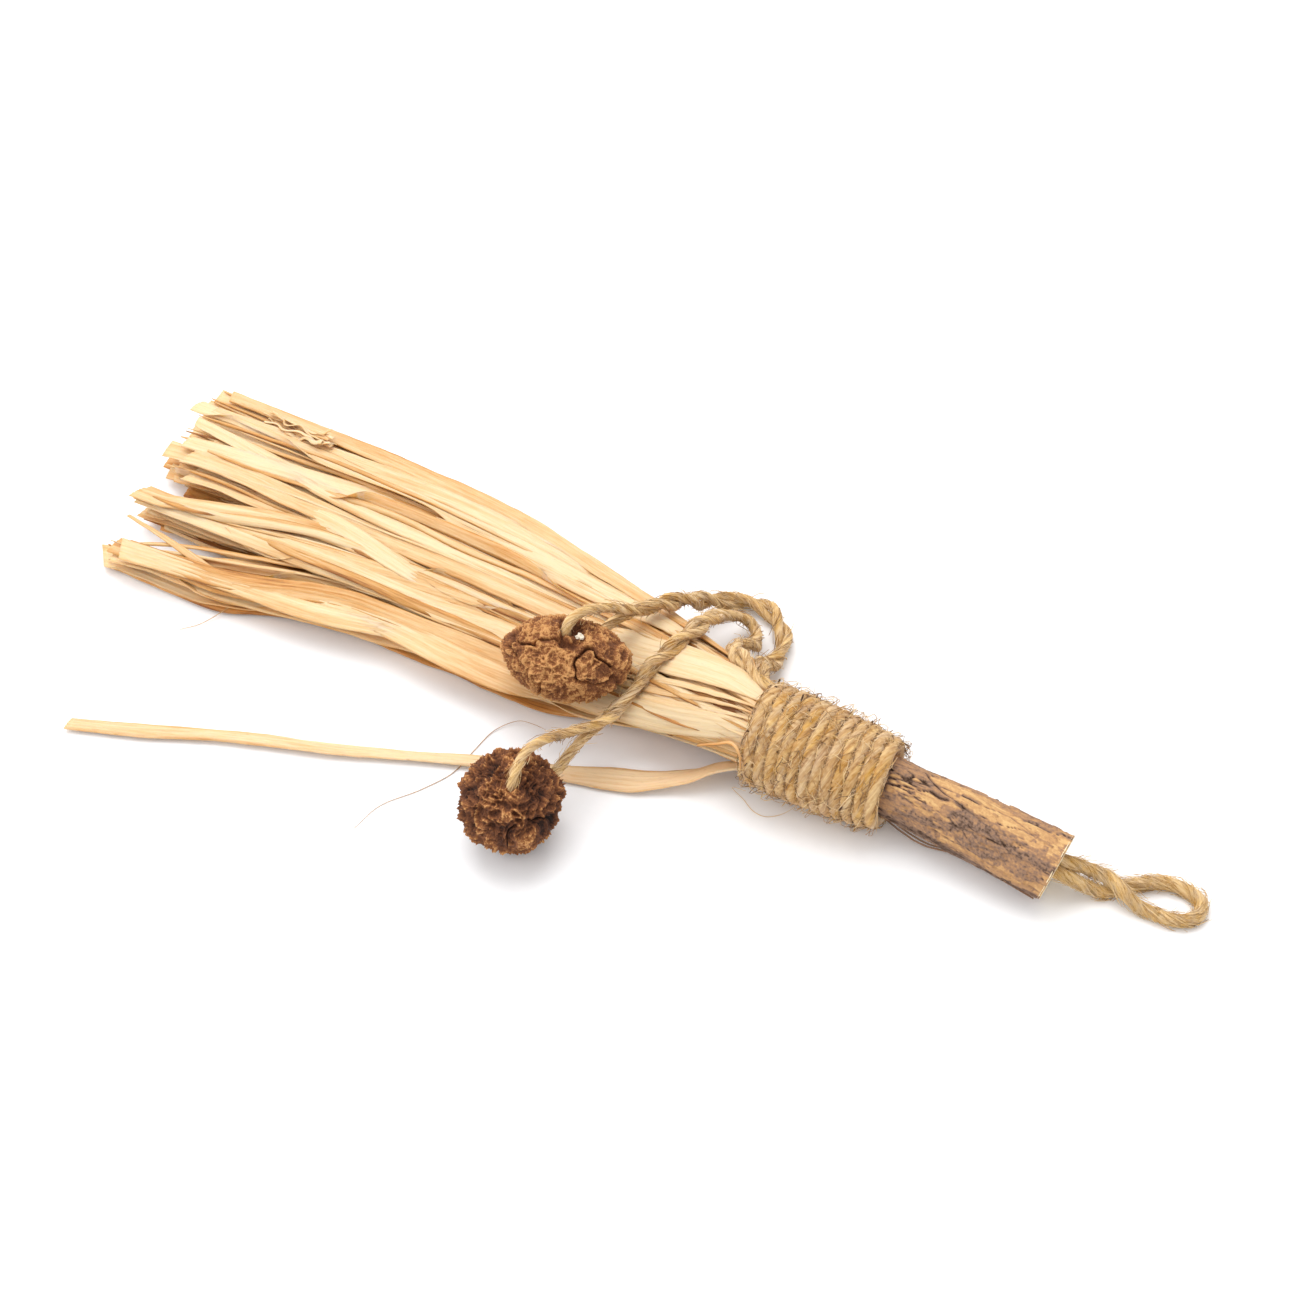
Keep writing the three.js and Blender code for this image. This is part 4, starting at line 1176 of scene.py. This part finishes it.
def crumb_piece(materials):
    """Chalky crumbs beside the far gall's hole: balls over longitude and latitude with noise on their
    radius."""
    shell = Shell()
    rng = np.random.default_rng(4)
    ball = np.stack(globe(14, 16, 0.05), -1)
    for place, size in CRUMBS:
        radius = size * (1 + 0.55 * rough(ball * 2.1 + rng.uniform(0, 9, 3), 3))
        rings = np.array(place) + ball * radius[..., None]
        shell.add(rings[::-1][None], 0.5, rings[::-1][None])
    return shell.made("gall_crumbs", materials["crumb"])


# Loose hairs -------------------------------------------------------------------------------------

# Single fibres that have come away: thickness, tone and route.
LOOSE_HAIRS = [
    (0.13, 0.9, [
        (2.0, -9.4, 3.2), (-1.5, -8.6, 1.4), (1.6, -9.6, 0.25), (4.6, -11.4, 0.2), (7.4, -11.6, 0.2),
        (10.4, -9.6, 0.4), (12.8, -7.0, 1.8),
    ]),
    (0.17, 0.35, [
        (-42.0, -13.0, 3.2), (-45.0, -12.4, 2.6), (-49.1, -12.0, 1.0), (-52.6, -15.8, 0.3),
        (-54.1, -22, 0.2), (-55.4, -29, 0.2), (-59.6, -36, 0.2), (-65.2, -43.1, 0.2), (-67.3, -50.3, 0.2),
    ]),
    (0.2, 0.6, [(-125.5, -20.6, 0.2), (-121.9, -17.2, 0.4), (-117.5, -10.6, 1.9), (-113.2, -4.6, 3.2)]),
    (0.16, 0.9, [
        (-6.5, 9.4, 13.4), (-8.6, 12.4, 12.2), (-10.4, 15.4, 10.4), (-10.0, 18.6, 9.6), (-11.8, 20.4, 9.0),
        (-12.6, 21.6, 8.8),
    ]),
]
# Slivers of raffia at the wrap's mouth: width and route.
MOUTH_SLIVERS = [
    (0.9, [
        (2.4, 7.6, 17.6), (-1.4, 8.8, 16.2), (-4.4, 10.6, 14.6), (-7.0, 13.6, 13.0), (-8.6, 15.8, 12.6),
    ]),
    (0.6, [
        (-9.5, -8.6, 11.2), (-5.4, -8.2, 13.8), (-1.8, -8.6, 16.4), (0.6, -10.2, 16.0), (1.6, -11.6, 13.2),
    ]),
    (0.7, [(2.0, 4.5, 20.2), (-2.2, 6.8, 18.2), (-6.0, 9.8, 15.2), (-10.0, 12.2, 13.0)]),
]


def loose_pieces(materials):
    """Jute hairs, thin tubes on smooth lines, and raffia slivers, narrow ribbons on smooth lines."""
    hairs = Shell()
    for thick, tone, knots in LOOSE_HAIRS:
        line = evenly(smooth_line(knots, 16), 0.7)
        hairs.add(above_floor(hair_rings(line[None], thick, 6)), tone)
    made = hairs.made("loose_hairs", materials["fibre"])
    slivers = Shell()
    for number, (width, knots) in enumerate(MOUTH_SLIVERS):
        line = evenly(smooth_line(knots, 16), 0.6)
        rings, tones, grain = ribbon(
            line, (0.3, -1, 0.2), width, 0.18, 40 + number, 0.6, 0.1, 0.1, 0.6, columns=5
        )
        slivers.add(rings, tones, grain)
    return made, slivers.made("mouth_slivers", materials["raffia"])


# Materials ---------------------------------------------------------------------------------------


def add(tree, kind, inputs=(), stops=(), **settings):
    """Adds a node: settings are its properties, inputs its sockets' values or the sockets that feed them, and
    stops the places and colours of a ramp."""
    made = tree.nodes.new(kind)
    for name, value in settings.items():
        setattr(made, name, value)
    for socket, value in dict(inputs).items():
        if isinstance(value, bpy.types.NodeSocket):
            tree.links.new(value, made.inputs[socket])
        else:
            made.inputs[socket].default_value = value
    if stops:
        elements = made.color_ramp.elements
        while len(elements) < len(stops):
            elements.new(0.5)
        for element, (place, colour) in zip(elements, stops):
            element.position, element.color = place, opaque(colour)
    return made


def blank(name):
    """A material without nodes, and its node tree."""
    material = bpy.data.materials.new(name)
    material.use_nodes = True
    tree = material.node_tree
    tree.nodes.clear()
    return material, tree


def finished(tree, surface):
    """Leads a shader to the material's output."""
    add(tree, "ShaderNodeOutputMaterial", {"Surface": surface.outputs[0]})


def jute_material(name, fibre_scale, rough_value):
    """Jute twine, spun from bast fibres: dull, hairy and uneven, with pale and brown fibres side by side, and
    painted shade, dark brown, between the plies and in the fibre grooves."""
    twine = bpy.context.scene.whisk_twine
    material, tree = blank(name)
    tone = add(tree, "ShaderNodeAttribute", attribute_name="tone")
    grain = add(tree, "ShaderNodeAttribute", attribute_name="grain")
    # Fibres are 0.05 mm thick; they are drawn 0.3 mm wide so that they show.
    streaks = add(
        tree, "ShaderNodeTexNoise",
        {"Vector": grain.outputs["Vector"], "Scale": fibre_scale, "Detail": 4.0, "Roughness": 0.65},
    )
    blotch = add(
        tree, "ShaderNodeTexNoise", {"Vector": grain.outputs["Vector"], "Scale": 0.55, "Detail": 2.0}
    )
    shade = add(tree, "ShaderNodeMath", {0: streaks.outputs["Fac"], 1: tone.outputs["Fac"]}, operation="ADD")
    level = add(tree, "ShaderNodeMapRange", {"Value": shade.outputs[0], "From Min": 0.45, "From Max": 1.5})
    colour = add(
        tree, "ShaderNodeValToRGB", {"Fac": level.outputs[0]},
        stops=[(0.0, twine.dark), (0.42, twine.body), (0.95, twine.pale)],
    )
    depth = add(
        tree, "ShaderNodeMapRange",
        {"Value": blotch.outputs["Fac"], "From Min": 0.3, "From Max": 0.7, "To Min": 0.85, "To Max": 1.2},
    )
    warm = add(tree, "ShaderNodeHueSaturation", {"Color": colour.outputs[0], "Saturation": depth.outputs[0]})
    bump = add(
        tree, "ShaderNodeBump", {"Height": streaks.outputs["Fac"], "Strength": 0.5, "Distance": 0.00012}
    )
    surface = add(
        tree, "ShaderNodeBsdfPrincipled",
        {
            "Base Color": warm.outputs[0], "Roughness": rough_value, "Normal": bump.outputs[0],
            "Specular IOR Level": 0.25, "Sheen Weight": 0.25, "Sheen Roughness": 0.5,
        },
    )
    finished(tree, surface)
    return material


def raffia_material():
    """Raffia palm leaf, dried and split by hand: a thin, slightly waxy leaf with fine lengthwise veins, cream
    where it was bleached and amber where it was ripe. Its tone also carries painted shade, which turns it
    amber and brown."""
    raffia = bpy.context.scene.whisk_raffia
    material, tree = blank("Dried raffia leaf")
    tone = add(tree, "ShaderNodeAttribute", attribute_name="tone")
    grain = add(tree, "ShaderNodeAttribute", attribute_name="grain")
    # Veins are about 0.1 mm apart; they are drawn 0.35 mm apart so that they show.
    veins = add(
        tree, "ShaderNodeTexNoise",
        {"Vector": grain.outputs["Vector"], "Scale": 2.8, "Detail": 5.0, "Roughness": 0.7},
    )
    broad = add(tree, "ShaderNodeTexNoise", {"Vector": grain.outputs["Vector"], "Scale": 0.75, "Detail": 2.0})
    flecks = add(tree, "ShaderNodeTexNoise", {"Vector": grain.outputs["Vector"], "Scale": 9.0, "Detail": 1.0})
    vein_shade = add(
        tree, "ShaderNodeMapRange",
        {"Value": veins.outputs["Fac"], "From Min": 0.3, "From Max": 0.72, "To Min": -0.2, "To Max": 0.22},
    )
    broad_shade = add(
        tree, "ShaderNodeMapRange",
        {"Value": broad.outputs["Fac"], "From Min": 0.3, "From Max": 0.7, "To Min": -0.14, "To Max": 0.16},
    )
    both = add(tree, "ShaderNodeMath", {0: vein_shade.outputs[0], 1: broad_shade.outputs[0]}, operation="ADD")
    level = add(
        tree, "ShaderNodeMath", {0: tone.outputs["Fac"], 1: both.outputs[0]}, operation="ADD", use_clamp=True
    )
    colour = add(
        tree, "ShaderNodeValToRGB", {"Fac": level.outputs[0]},
        stops=[(0.0, raffia.pale), (0.34, raffia.straw), (0.72, raffia.amber), (1.0, raffia.brown)],
    )
    dark = add(
        tree, "ShaderNodeMapRange",
        {"Value": flecks.outputs["Fac"], "From Min": 0.68, "From Max": 0.8, "To Min": 0.0, "To Max": 0.35},
    )
    flecked = add(
        tree, "ShaderNodeMix",
        {0: dark.outputs[0], 6: colour.outputs[0], 7: opaque(raffia.brown)}, data_type="RGBA",
    )
    bump = add(
        tree, "ShaderNodeBump", {"Height": veins.outputs["Fac"], "Strength": 0.55, "Distance": 0.00012}
    )
    gloss = add(tree, "ShaderNodeMapRange", {"Value": veins.outputs["Fac"], "To Min": 0.42, "To Max": 0.66})
    surface = add(
        tree, "ShaderNodeBsdfPrincipled",
        {
            "Base Color": flecked.outputs[2], "Roughness": gloss.outputs[0], "Normal": bump.outputs[0],
            "Specular IOR Level": 0.35, "Subsurface Weight": 0.3, "Subsurface Radius": (1.0, 0.6, 0.3),
            "Subsurface Scale": 0.0012,
        },
    )
    finished(tree, surface)
    return material


def bark_material():
    """Bark of a thin branch, dried and partly flaked: dull, tan to grey-brown outside, golden where it has
    peeled, nearly black in its fissures, partly its own colour and partly painted shade, and dark in a band of
    painted shade along its lower side."""
    wood = bpy.context.scene.whisk_wood
    material, tree = blank("Dried flaking bark")
    tone = add(tree, "ShaderNodeAttribute", attribute_name="tone")
    grain = add(tree, "ShaderNodeAttribute", attribute_name="grain")
    threads = add(
        tree, "ShaderNodeTexNoise",
        {"Vector": grain.outputs["Vector"], "Scale": 2.2, "Detail": 6.0, "Roughness": 0.75},
    )
    specks = add(
        tree, "ShaderNodeTexNoise",
        {"Vector": grain.outputs["Vector"], "Scale": 6.5, "Detail": 3.0, "Roughness": 0.6},
    )
    shift = add(
        tree, "ShaderNodeMapRange",
        {"Value": threads.outputs["Fac"], "From Min": 0.3, "From Max": 0.7, "To Min": -0.16, "To Max": 0.16},
    )
    level = add(
        tree, "ShaderNodeMath", {0: tone.outputs["Fac"], 1: shift.outputs[0]}, operation="ADD", use_clamp=True
    )
    colour = add(
        tree, "ShaderNodeValToRGB", {"Fac": level.outputs[0]},
        stops=[
            (0.02, wood.cleft), (0.3, wood.grey), (0.55, wood.tan), (0.8, wood.golden),
            (1.0, linear("d9b078")),
        ],
    )
    dark = add(
        tree, "ShaderNodeMapRange",
        {"Value": specks.outputs["Fac"], "From Min": 0.6, "From Max": 0.75, "To Min": 0.0, "To Max": 0.5},
    )
    specked = add(
        tree, "ShaderNodeMix",
        {0: dark.outputs[0], 6: colour.outputs[0], 7: opaque(wood.cleft)}, data_type="RGBA",
    )
    bump = add(
        tree, "ShaderNodeBump", {"Height": threads.outputs["Fac"], "Strength": 0.7, "Distance": 0.0002}
    )
    surface = add(
        tree, "ShaderNodeBsdfPrincipled",
        {
            "Base Color": specked.outputs[2], "Roughness": 0.82, "Normal": bump.outputs[0],
            "Specular IOR Level": 0.3,
        },
    )
    finished(tree, surface)
    return material


def sawn_material():
    """The branch's wood where it was sawn: pale, matt and a little fuzzy, and darker where the loop goes in,
    which is painted shade in the holes.
    """
    wood = bpy.context.scene.whisk_wood
    material, tree = blank("Sawn sapwood")
    tone = add(tree, "ShaderNodeAttribute", attribute_name="tone")
    place = add(tree, "ShaderNodeTexCoord")
    fuzz = add(
        tree, "ShaderNodeTexNoise",
        {"Vector": place.outputs["Object"], "Scale": 2200.0, "Detail": 4.0, "Roughness": 0.7},
    )
    level = add(
        tree, "ShaderNodeMath",
        {0: tone.outputs["Fac"], 1: fuzz.outputs["Fac"]}, operation="MULTIPLY", use_clamp=True,
    )
    colour = add(
        tree, "ShaderNodeValToRGB", {"Fac": level.outputs[0]},
        stops=[(0.05, wood.cleft), (0.2, wood.tan), (0.42, wood.sawn)],
    )
    bump = add(tree, "ShaderNodeBump", {"Height": fuzz.outputs["Fac"], "Strength": 0.6, "Distance": 0.00012})
    surface = add(
        tree, "ShaderNodeBsdfPrincipled",
        {
            "Base Color": colour.outputs[0], "Roughness": 0.85, "Normal": bump.outputs[0],
            "Specular IOR Level": 0.3,
        },
    )
    finished(tree, surface)
    return material


def gall_material(name, warmth, contrast, grit):
    """Dried plant gall: dull and crusty, rust-brown on its ridges and near black in its creases; the ridges'
    light colour is partly its own and partly painted light, and the creases' dark is painted shade. Its tone
    is multiplied by contrast and raised by warmth, and its crust has grit lumps per millimetre."""
    wood = bpy.context.scene.whisk_wood
    material, tree = blank(name)
    tone = add(tree, "ShaderNodeAttribute", attribute_name="tone")
    grain = add(tree, "ShaderNodeAttribute", attribute_name="grain")
    crust = add(
        tree, "ShaderNodeTexNoise",
        {"Vector": grain.outputs["Vector"], "Scale": grit, "Detail": 6.0, "Roughness": 0.75},
    )
    shift = add(
        tree, "ShaderNodeMapRange",
        {"Value": crust.outputs["Fac"], "From Min": 0.3, "From Max": 0.7, "To Min": -0.28, "To Max": 0.28},
    )
    raised = add(
        tree, "ShaderNodeMath", {0: tone.outputs["Fac"], 1: contrast, 2: warmth}, operation="MULTIPLY_ADD"
    )
    level = add(
        tree, "ShaderNodeMath", {0: raised.outputs[0], 1: shift.outputs[0]}, operation="ADD", use_clamp=True
    )
    colour = add(
        tree, "ShaderNodeValToRGB", {"Fac": level.outputs[0]},
        stops=[
            (0.06, wood.gall_deep), (0.32, linear("532d19")), (0.62, wood.gall), (0.88, wood.gall_ridge),
            (1.0, linear("d39b60")),
        ],
    )
    bump = add(tree, "ShaderNodeBump", {"Height": crust.outputs["Fac"], "Strength": 0.9, "Distance": 0.0003})
    surface = add(
        tree, "ShaderNodeBsdfPrincipled",
        {
            "Base Color": colour.outputs[0], "Roughness": 0.74, "Normal": bump.outputs[0],
            "Specular IOR Level": 0.35,
        },
    )
    finished(tree, surface)
    return material


def plain_material(name, colour, roughness, grit, depth):
    """A matt surface of one colour with a faint grit, such as chalk or uncoated paper. The grit is in lumps
    per metre."""
    material, tree = blank(name)
    place = add(tree, "ShaderNodeTexCoord")
    grain = add(tree, "ShaderNodeTexNoise", {"Vector": place.outputs["Object"], "Scale": grit, "Detail": 3.0})
    tint = add(tree, "ShaderNodeMapRange", {"Value": grain.outputs["Fac"], "To Min": 0.97, "To Max": 1.02})
    shade = add(tree, "ShaderNodeHueSaturation", {"Color": opaque(colour), "Value": tint.outputs[0]})
    bump = add(tree, "ShaderNodeBump", {"Height": grain.outputs["Fac"], "Strength": 0.2, "Distance": depth})
    surface = add(
        tree, "ShaderNodeBsdfPrincipled",
        {
            "Base Color": shade.outputs[0], "Roughness": roughness, "Normal": bump.outputs[0],
            "Specular IOR Level": 0.2,
        },
    )
    finished(tree, surface)
    return material


MATERIALS = {}


def the_materials():
    """Each material, made once, by the name of what it is for."""
    makers = {
        "jute": lambda: jute_material("Spun jute twine", 3.4, 0.9),
        "fibre": lambda: jute_material("Loose jute fibre", 1.2, 0.8),
        "raffia": raffia_material,
        "bark": bark_material,
        "sawn": sawn_material,
        "gall_far": lambda: gall_material("Dried gall, rusty", 0.52, 0.66, 4.2),
        "gall_near": lambda: gall_material("Dried gall, dark", 0.0, 1.0, 2.6),
        "crumb": lambda: plain_material("Chalky crumb", linear("e2d6c2"), 0.8, 3000.0, 0.0001),
    }
    for key, maker in makers.items():
        if key not in MATERIALS:
            MATERIALS[key] = maker()
    return MATERIALS


# Operators ---------------------------------------------------------------------------------------


class WHISK_OT_stage(bpy.types.Operator):
    """Make the floor, the lights and the camera"""

    bl_idname = "whisk.stage"
    bl_label = "Stage"

    def execute(self, context):
        stage = context.scene.whisk_stage
        floor = bpy.data.meshes.new("floor")
        corners = [(x * FLOOR_HALF, y * FLOOR_HALF, 0) for x, y in ((-1, -1), (1, -1), (1, 1), (-1, 1))]
        floor.from_pydata(corners, [], [(0, 1, 2, 3)])
        floor.materials.append(plain_material("Matt white paper", tuple(stage.floor), 0.75, 400.0, 0.00002))
        ground = bpy.data.objects.new("floor", floor)
        context.scene.collection.objects.link(ground)
        for name, place, size, power in LAMPS:
            light = bpy.data.lights.new(name, "AREA")
            light.shape, light.size, light.energy = "SQUARE", size, stage.key * power
            lamp = bpy.data.objects.new(name, light)
            lamp.location = place
            lamp.rotation_euler = (-Vector(place)).to_track_quat("-Z", "Y").to_euler()
            context.scene.collection.objects.link(lamp)
        world = bpy.data.worlds.new("white room")
        world.use_nodes = True
        sky = world.node_tree.nodes["Background"].inputs
        sky["Color"].default_value = ROOM_WHITE
        sky["Strength"].default_value = ROOM_STRENGTH
        context.scene.world = world
        context.scene.view_settings.view_transform = "Standard"

        lens = bpy.data.cameras.new("camera")
        lens.lens, lens.sensor_width, lens.dof.use_dof = stage.lens, 36.0, False
        lens.clip_start = 0.01
        azimuth, elevation = math.radians(CAMERA_AZIMUTH), math.radians(CAMERA_ELEVATION)
        ahead = Vector(
            (
                -math.sin(azimuth) * math.cos(elevation),
                math.cos(azimuth) * math.cos(elevation),
                -math.sin(elevation),
            )
        )
        across = Vector((math.cos(azimuth), math.sin(azimuth), 0))
        above = across.cross(ahead)
        camera = bpy.data.objects.new("camera", lens)
        turn = Matrix((across, above, -ahead)).transposed().to_4x4()
        turn.translation = Vector(to_row(CAMERA_PLACE))
        camera.matrix_world = turn
        context.scene.collection.objects.link(camera)
        context.scene.camera = camera
        return {"FINISHED"}


class WHISK_OT_hanging_loop(bpy.types.Operator):
    """Make the jute loop that the whisk hangs by"""

    bl_idname = "whisk.hanging_loop"
    bl_label = "Hanging loop"

    def execute(self, context):
        diameter = context.scene.whisk_twine.loop_diameter / MM
        line = evenly(smooth_line(LOOP_ROUTE), TWINE_STEP)
        made = twine_piece("loop_twine", line, diameter, 11, LOOP_LOOK, the_materials()["jute"])
        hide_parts("hanging_loop")
        return {"FINISHED"}


class WHISK_OT_gall_cords(bpy.types.Operator):
    """Make the two galls and the doubled jute cords that they hang on"""

    bl_idname = "whisk.gall_cords"
    bl_label = "Galls and their cords"

    def execute(self, context):
        diameter = context.scene.whisk_twine.cord_diameter / MM
        materials = the_materials()
        for seed, (key, cord) in enumerate(GALL_CORDS.items()):
            line = evenly(smooth_line(gall_cord_route(cord)), TWINE_STEP)
            made = twine_piece("cord_twine_" + key, line, diameter, 21 + seed, CORD_LOOK, materials["jute"])
            gall = gall_piece(key, materials)
            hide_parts("gall_cord_" + key)
        crumb_piece(materials)
        return {"FINISHED"}


class WHISK_OT_stick(bpy.types.Operator):
    """Make the branch with its bark, its sawn end and the sliver that peels off it"""

    bl_idname = "whisk.stick"
    bl_label = "Stick"

    def execute(self, context):
        bark, sawn, sliver = stick_pieces(the_materials())
        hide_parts("stick")
        return {"FINISHED"}


class WHISK_OT_wrap(bpy.types.Operator):
    """Make the twelve turns of jute twine"""

    bl_idname = "whisk.wrap"
    bl_label = "Twine wrap"

    def execute(self, context):
        pieces = wrap_pieces(the_materials())
        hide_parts("twine_wrap")
        return {"FINISHED"}


class WHISK_OT_raffia(bpy.types.Operator):
    """Make the fan's strips, its leaves and its shreds"""

    bl_idname = "whisk.raffia"
    bl_label = "Raffia fan"

    def execute(self, context):
        materials = the_materials()
        made = [
            strip_piece(f"strip_{name}_{index + 1}", sheet, index, materials)
            for name, sheet in SHEETS.items()
            for index in range(sheet[3])
        ]
        made += [
            stray_piece(materials), shred_piece(materials), leaf_piece(materials), crinkled_piece(materials)
        ]
        return {"FINISHED"}


class WHISK_OT_loose(bpy.types.Operator):
    """Make the hairs and slivers that have come loose"""

    bl_idname = "whisk.loose"
    bl_label = "Loose hairs"

    def execute(self, context):
        hairs, slivers = loose_pieces(the_materials())
        return {"FINISHED"}


OPERATORS = [
    WHISK_OT_stage,
    WHISK_OT_hanging_loop,
    WHISK_OT_gall_cords,
    WHISK_OT_stick,
    WHISK_OT_wrap,
    WHISK_OT_raffia,
    WHISK_OT_loose,
]


class WHISK_PT_panel(bpy.types.Panel):
    """The whisk's operators and settings"""

    bl_idname = "WHISK_PT_panel"
    bl_label = "Raffia whisk"
    bl_space_type = "VIEW_3D"
    bl_region_type = "UI"
    bl_category = "Whisk"

    def draw(self, context):
        for operator in OPERATORS:
            self.layout.operator(operator.bl_idname)
        for name, group in SETTINGS.items():
            box = self.layout.box()
            for key in group.__annotations__:
                box.prop(getattr(context.scene, name), key)


def register():
    """Registers the classes and puts each group of settings on the scene."""
    for group in (*SETTINGS.values(), *OPERATORS, WHISK_PT_panel):
        bpy.utils.register_class(group)
    for name, group in SETTINGS.items():
        setattr(bpy.types.Scene, name, PointerProperty(type=group))


def unregister():
    """Takes away what register() made."""
    for name in SETTINGS:
        delattr(bpy.types.Scene, name)
    for group in reversed((*SETTINGS.values(), *OPERATORS, WHISK_PT_panel)):
        bpy.utils.unregister_class(group)


def main():
    register()
    for operator in OPERATORS:
        group, name = operator.bl_idname.split(".")
        getattr(getattr(bpy.ops, group), name)()


if __name__ == "__main__":
    main()
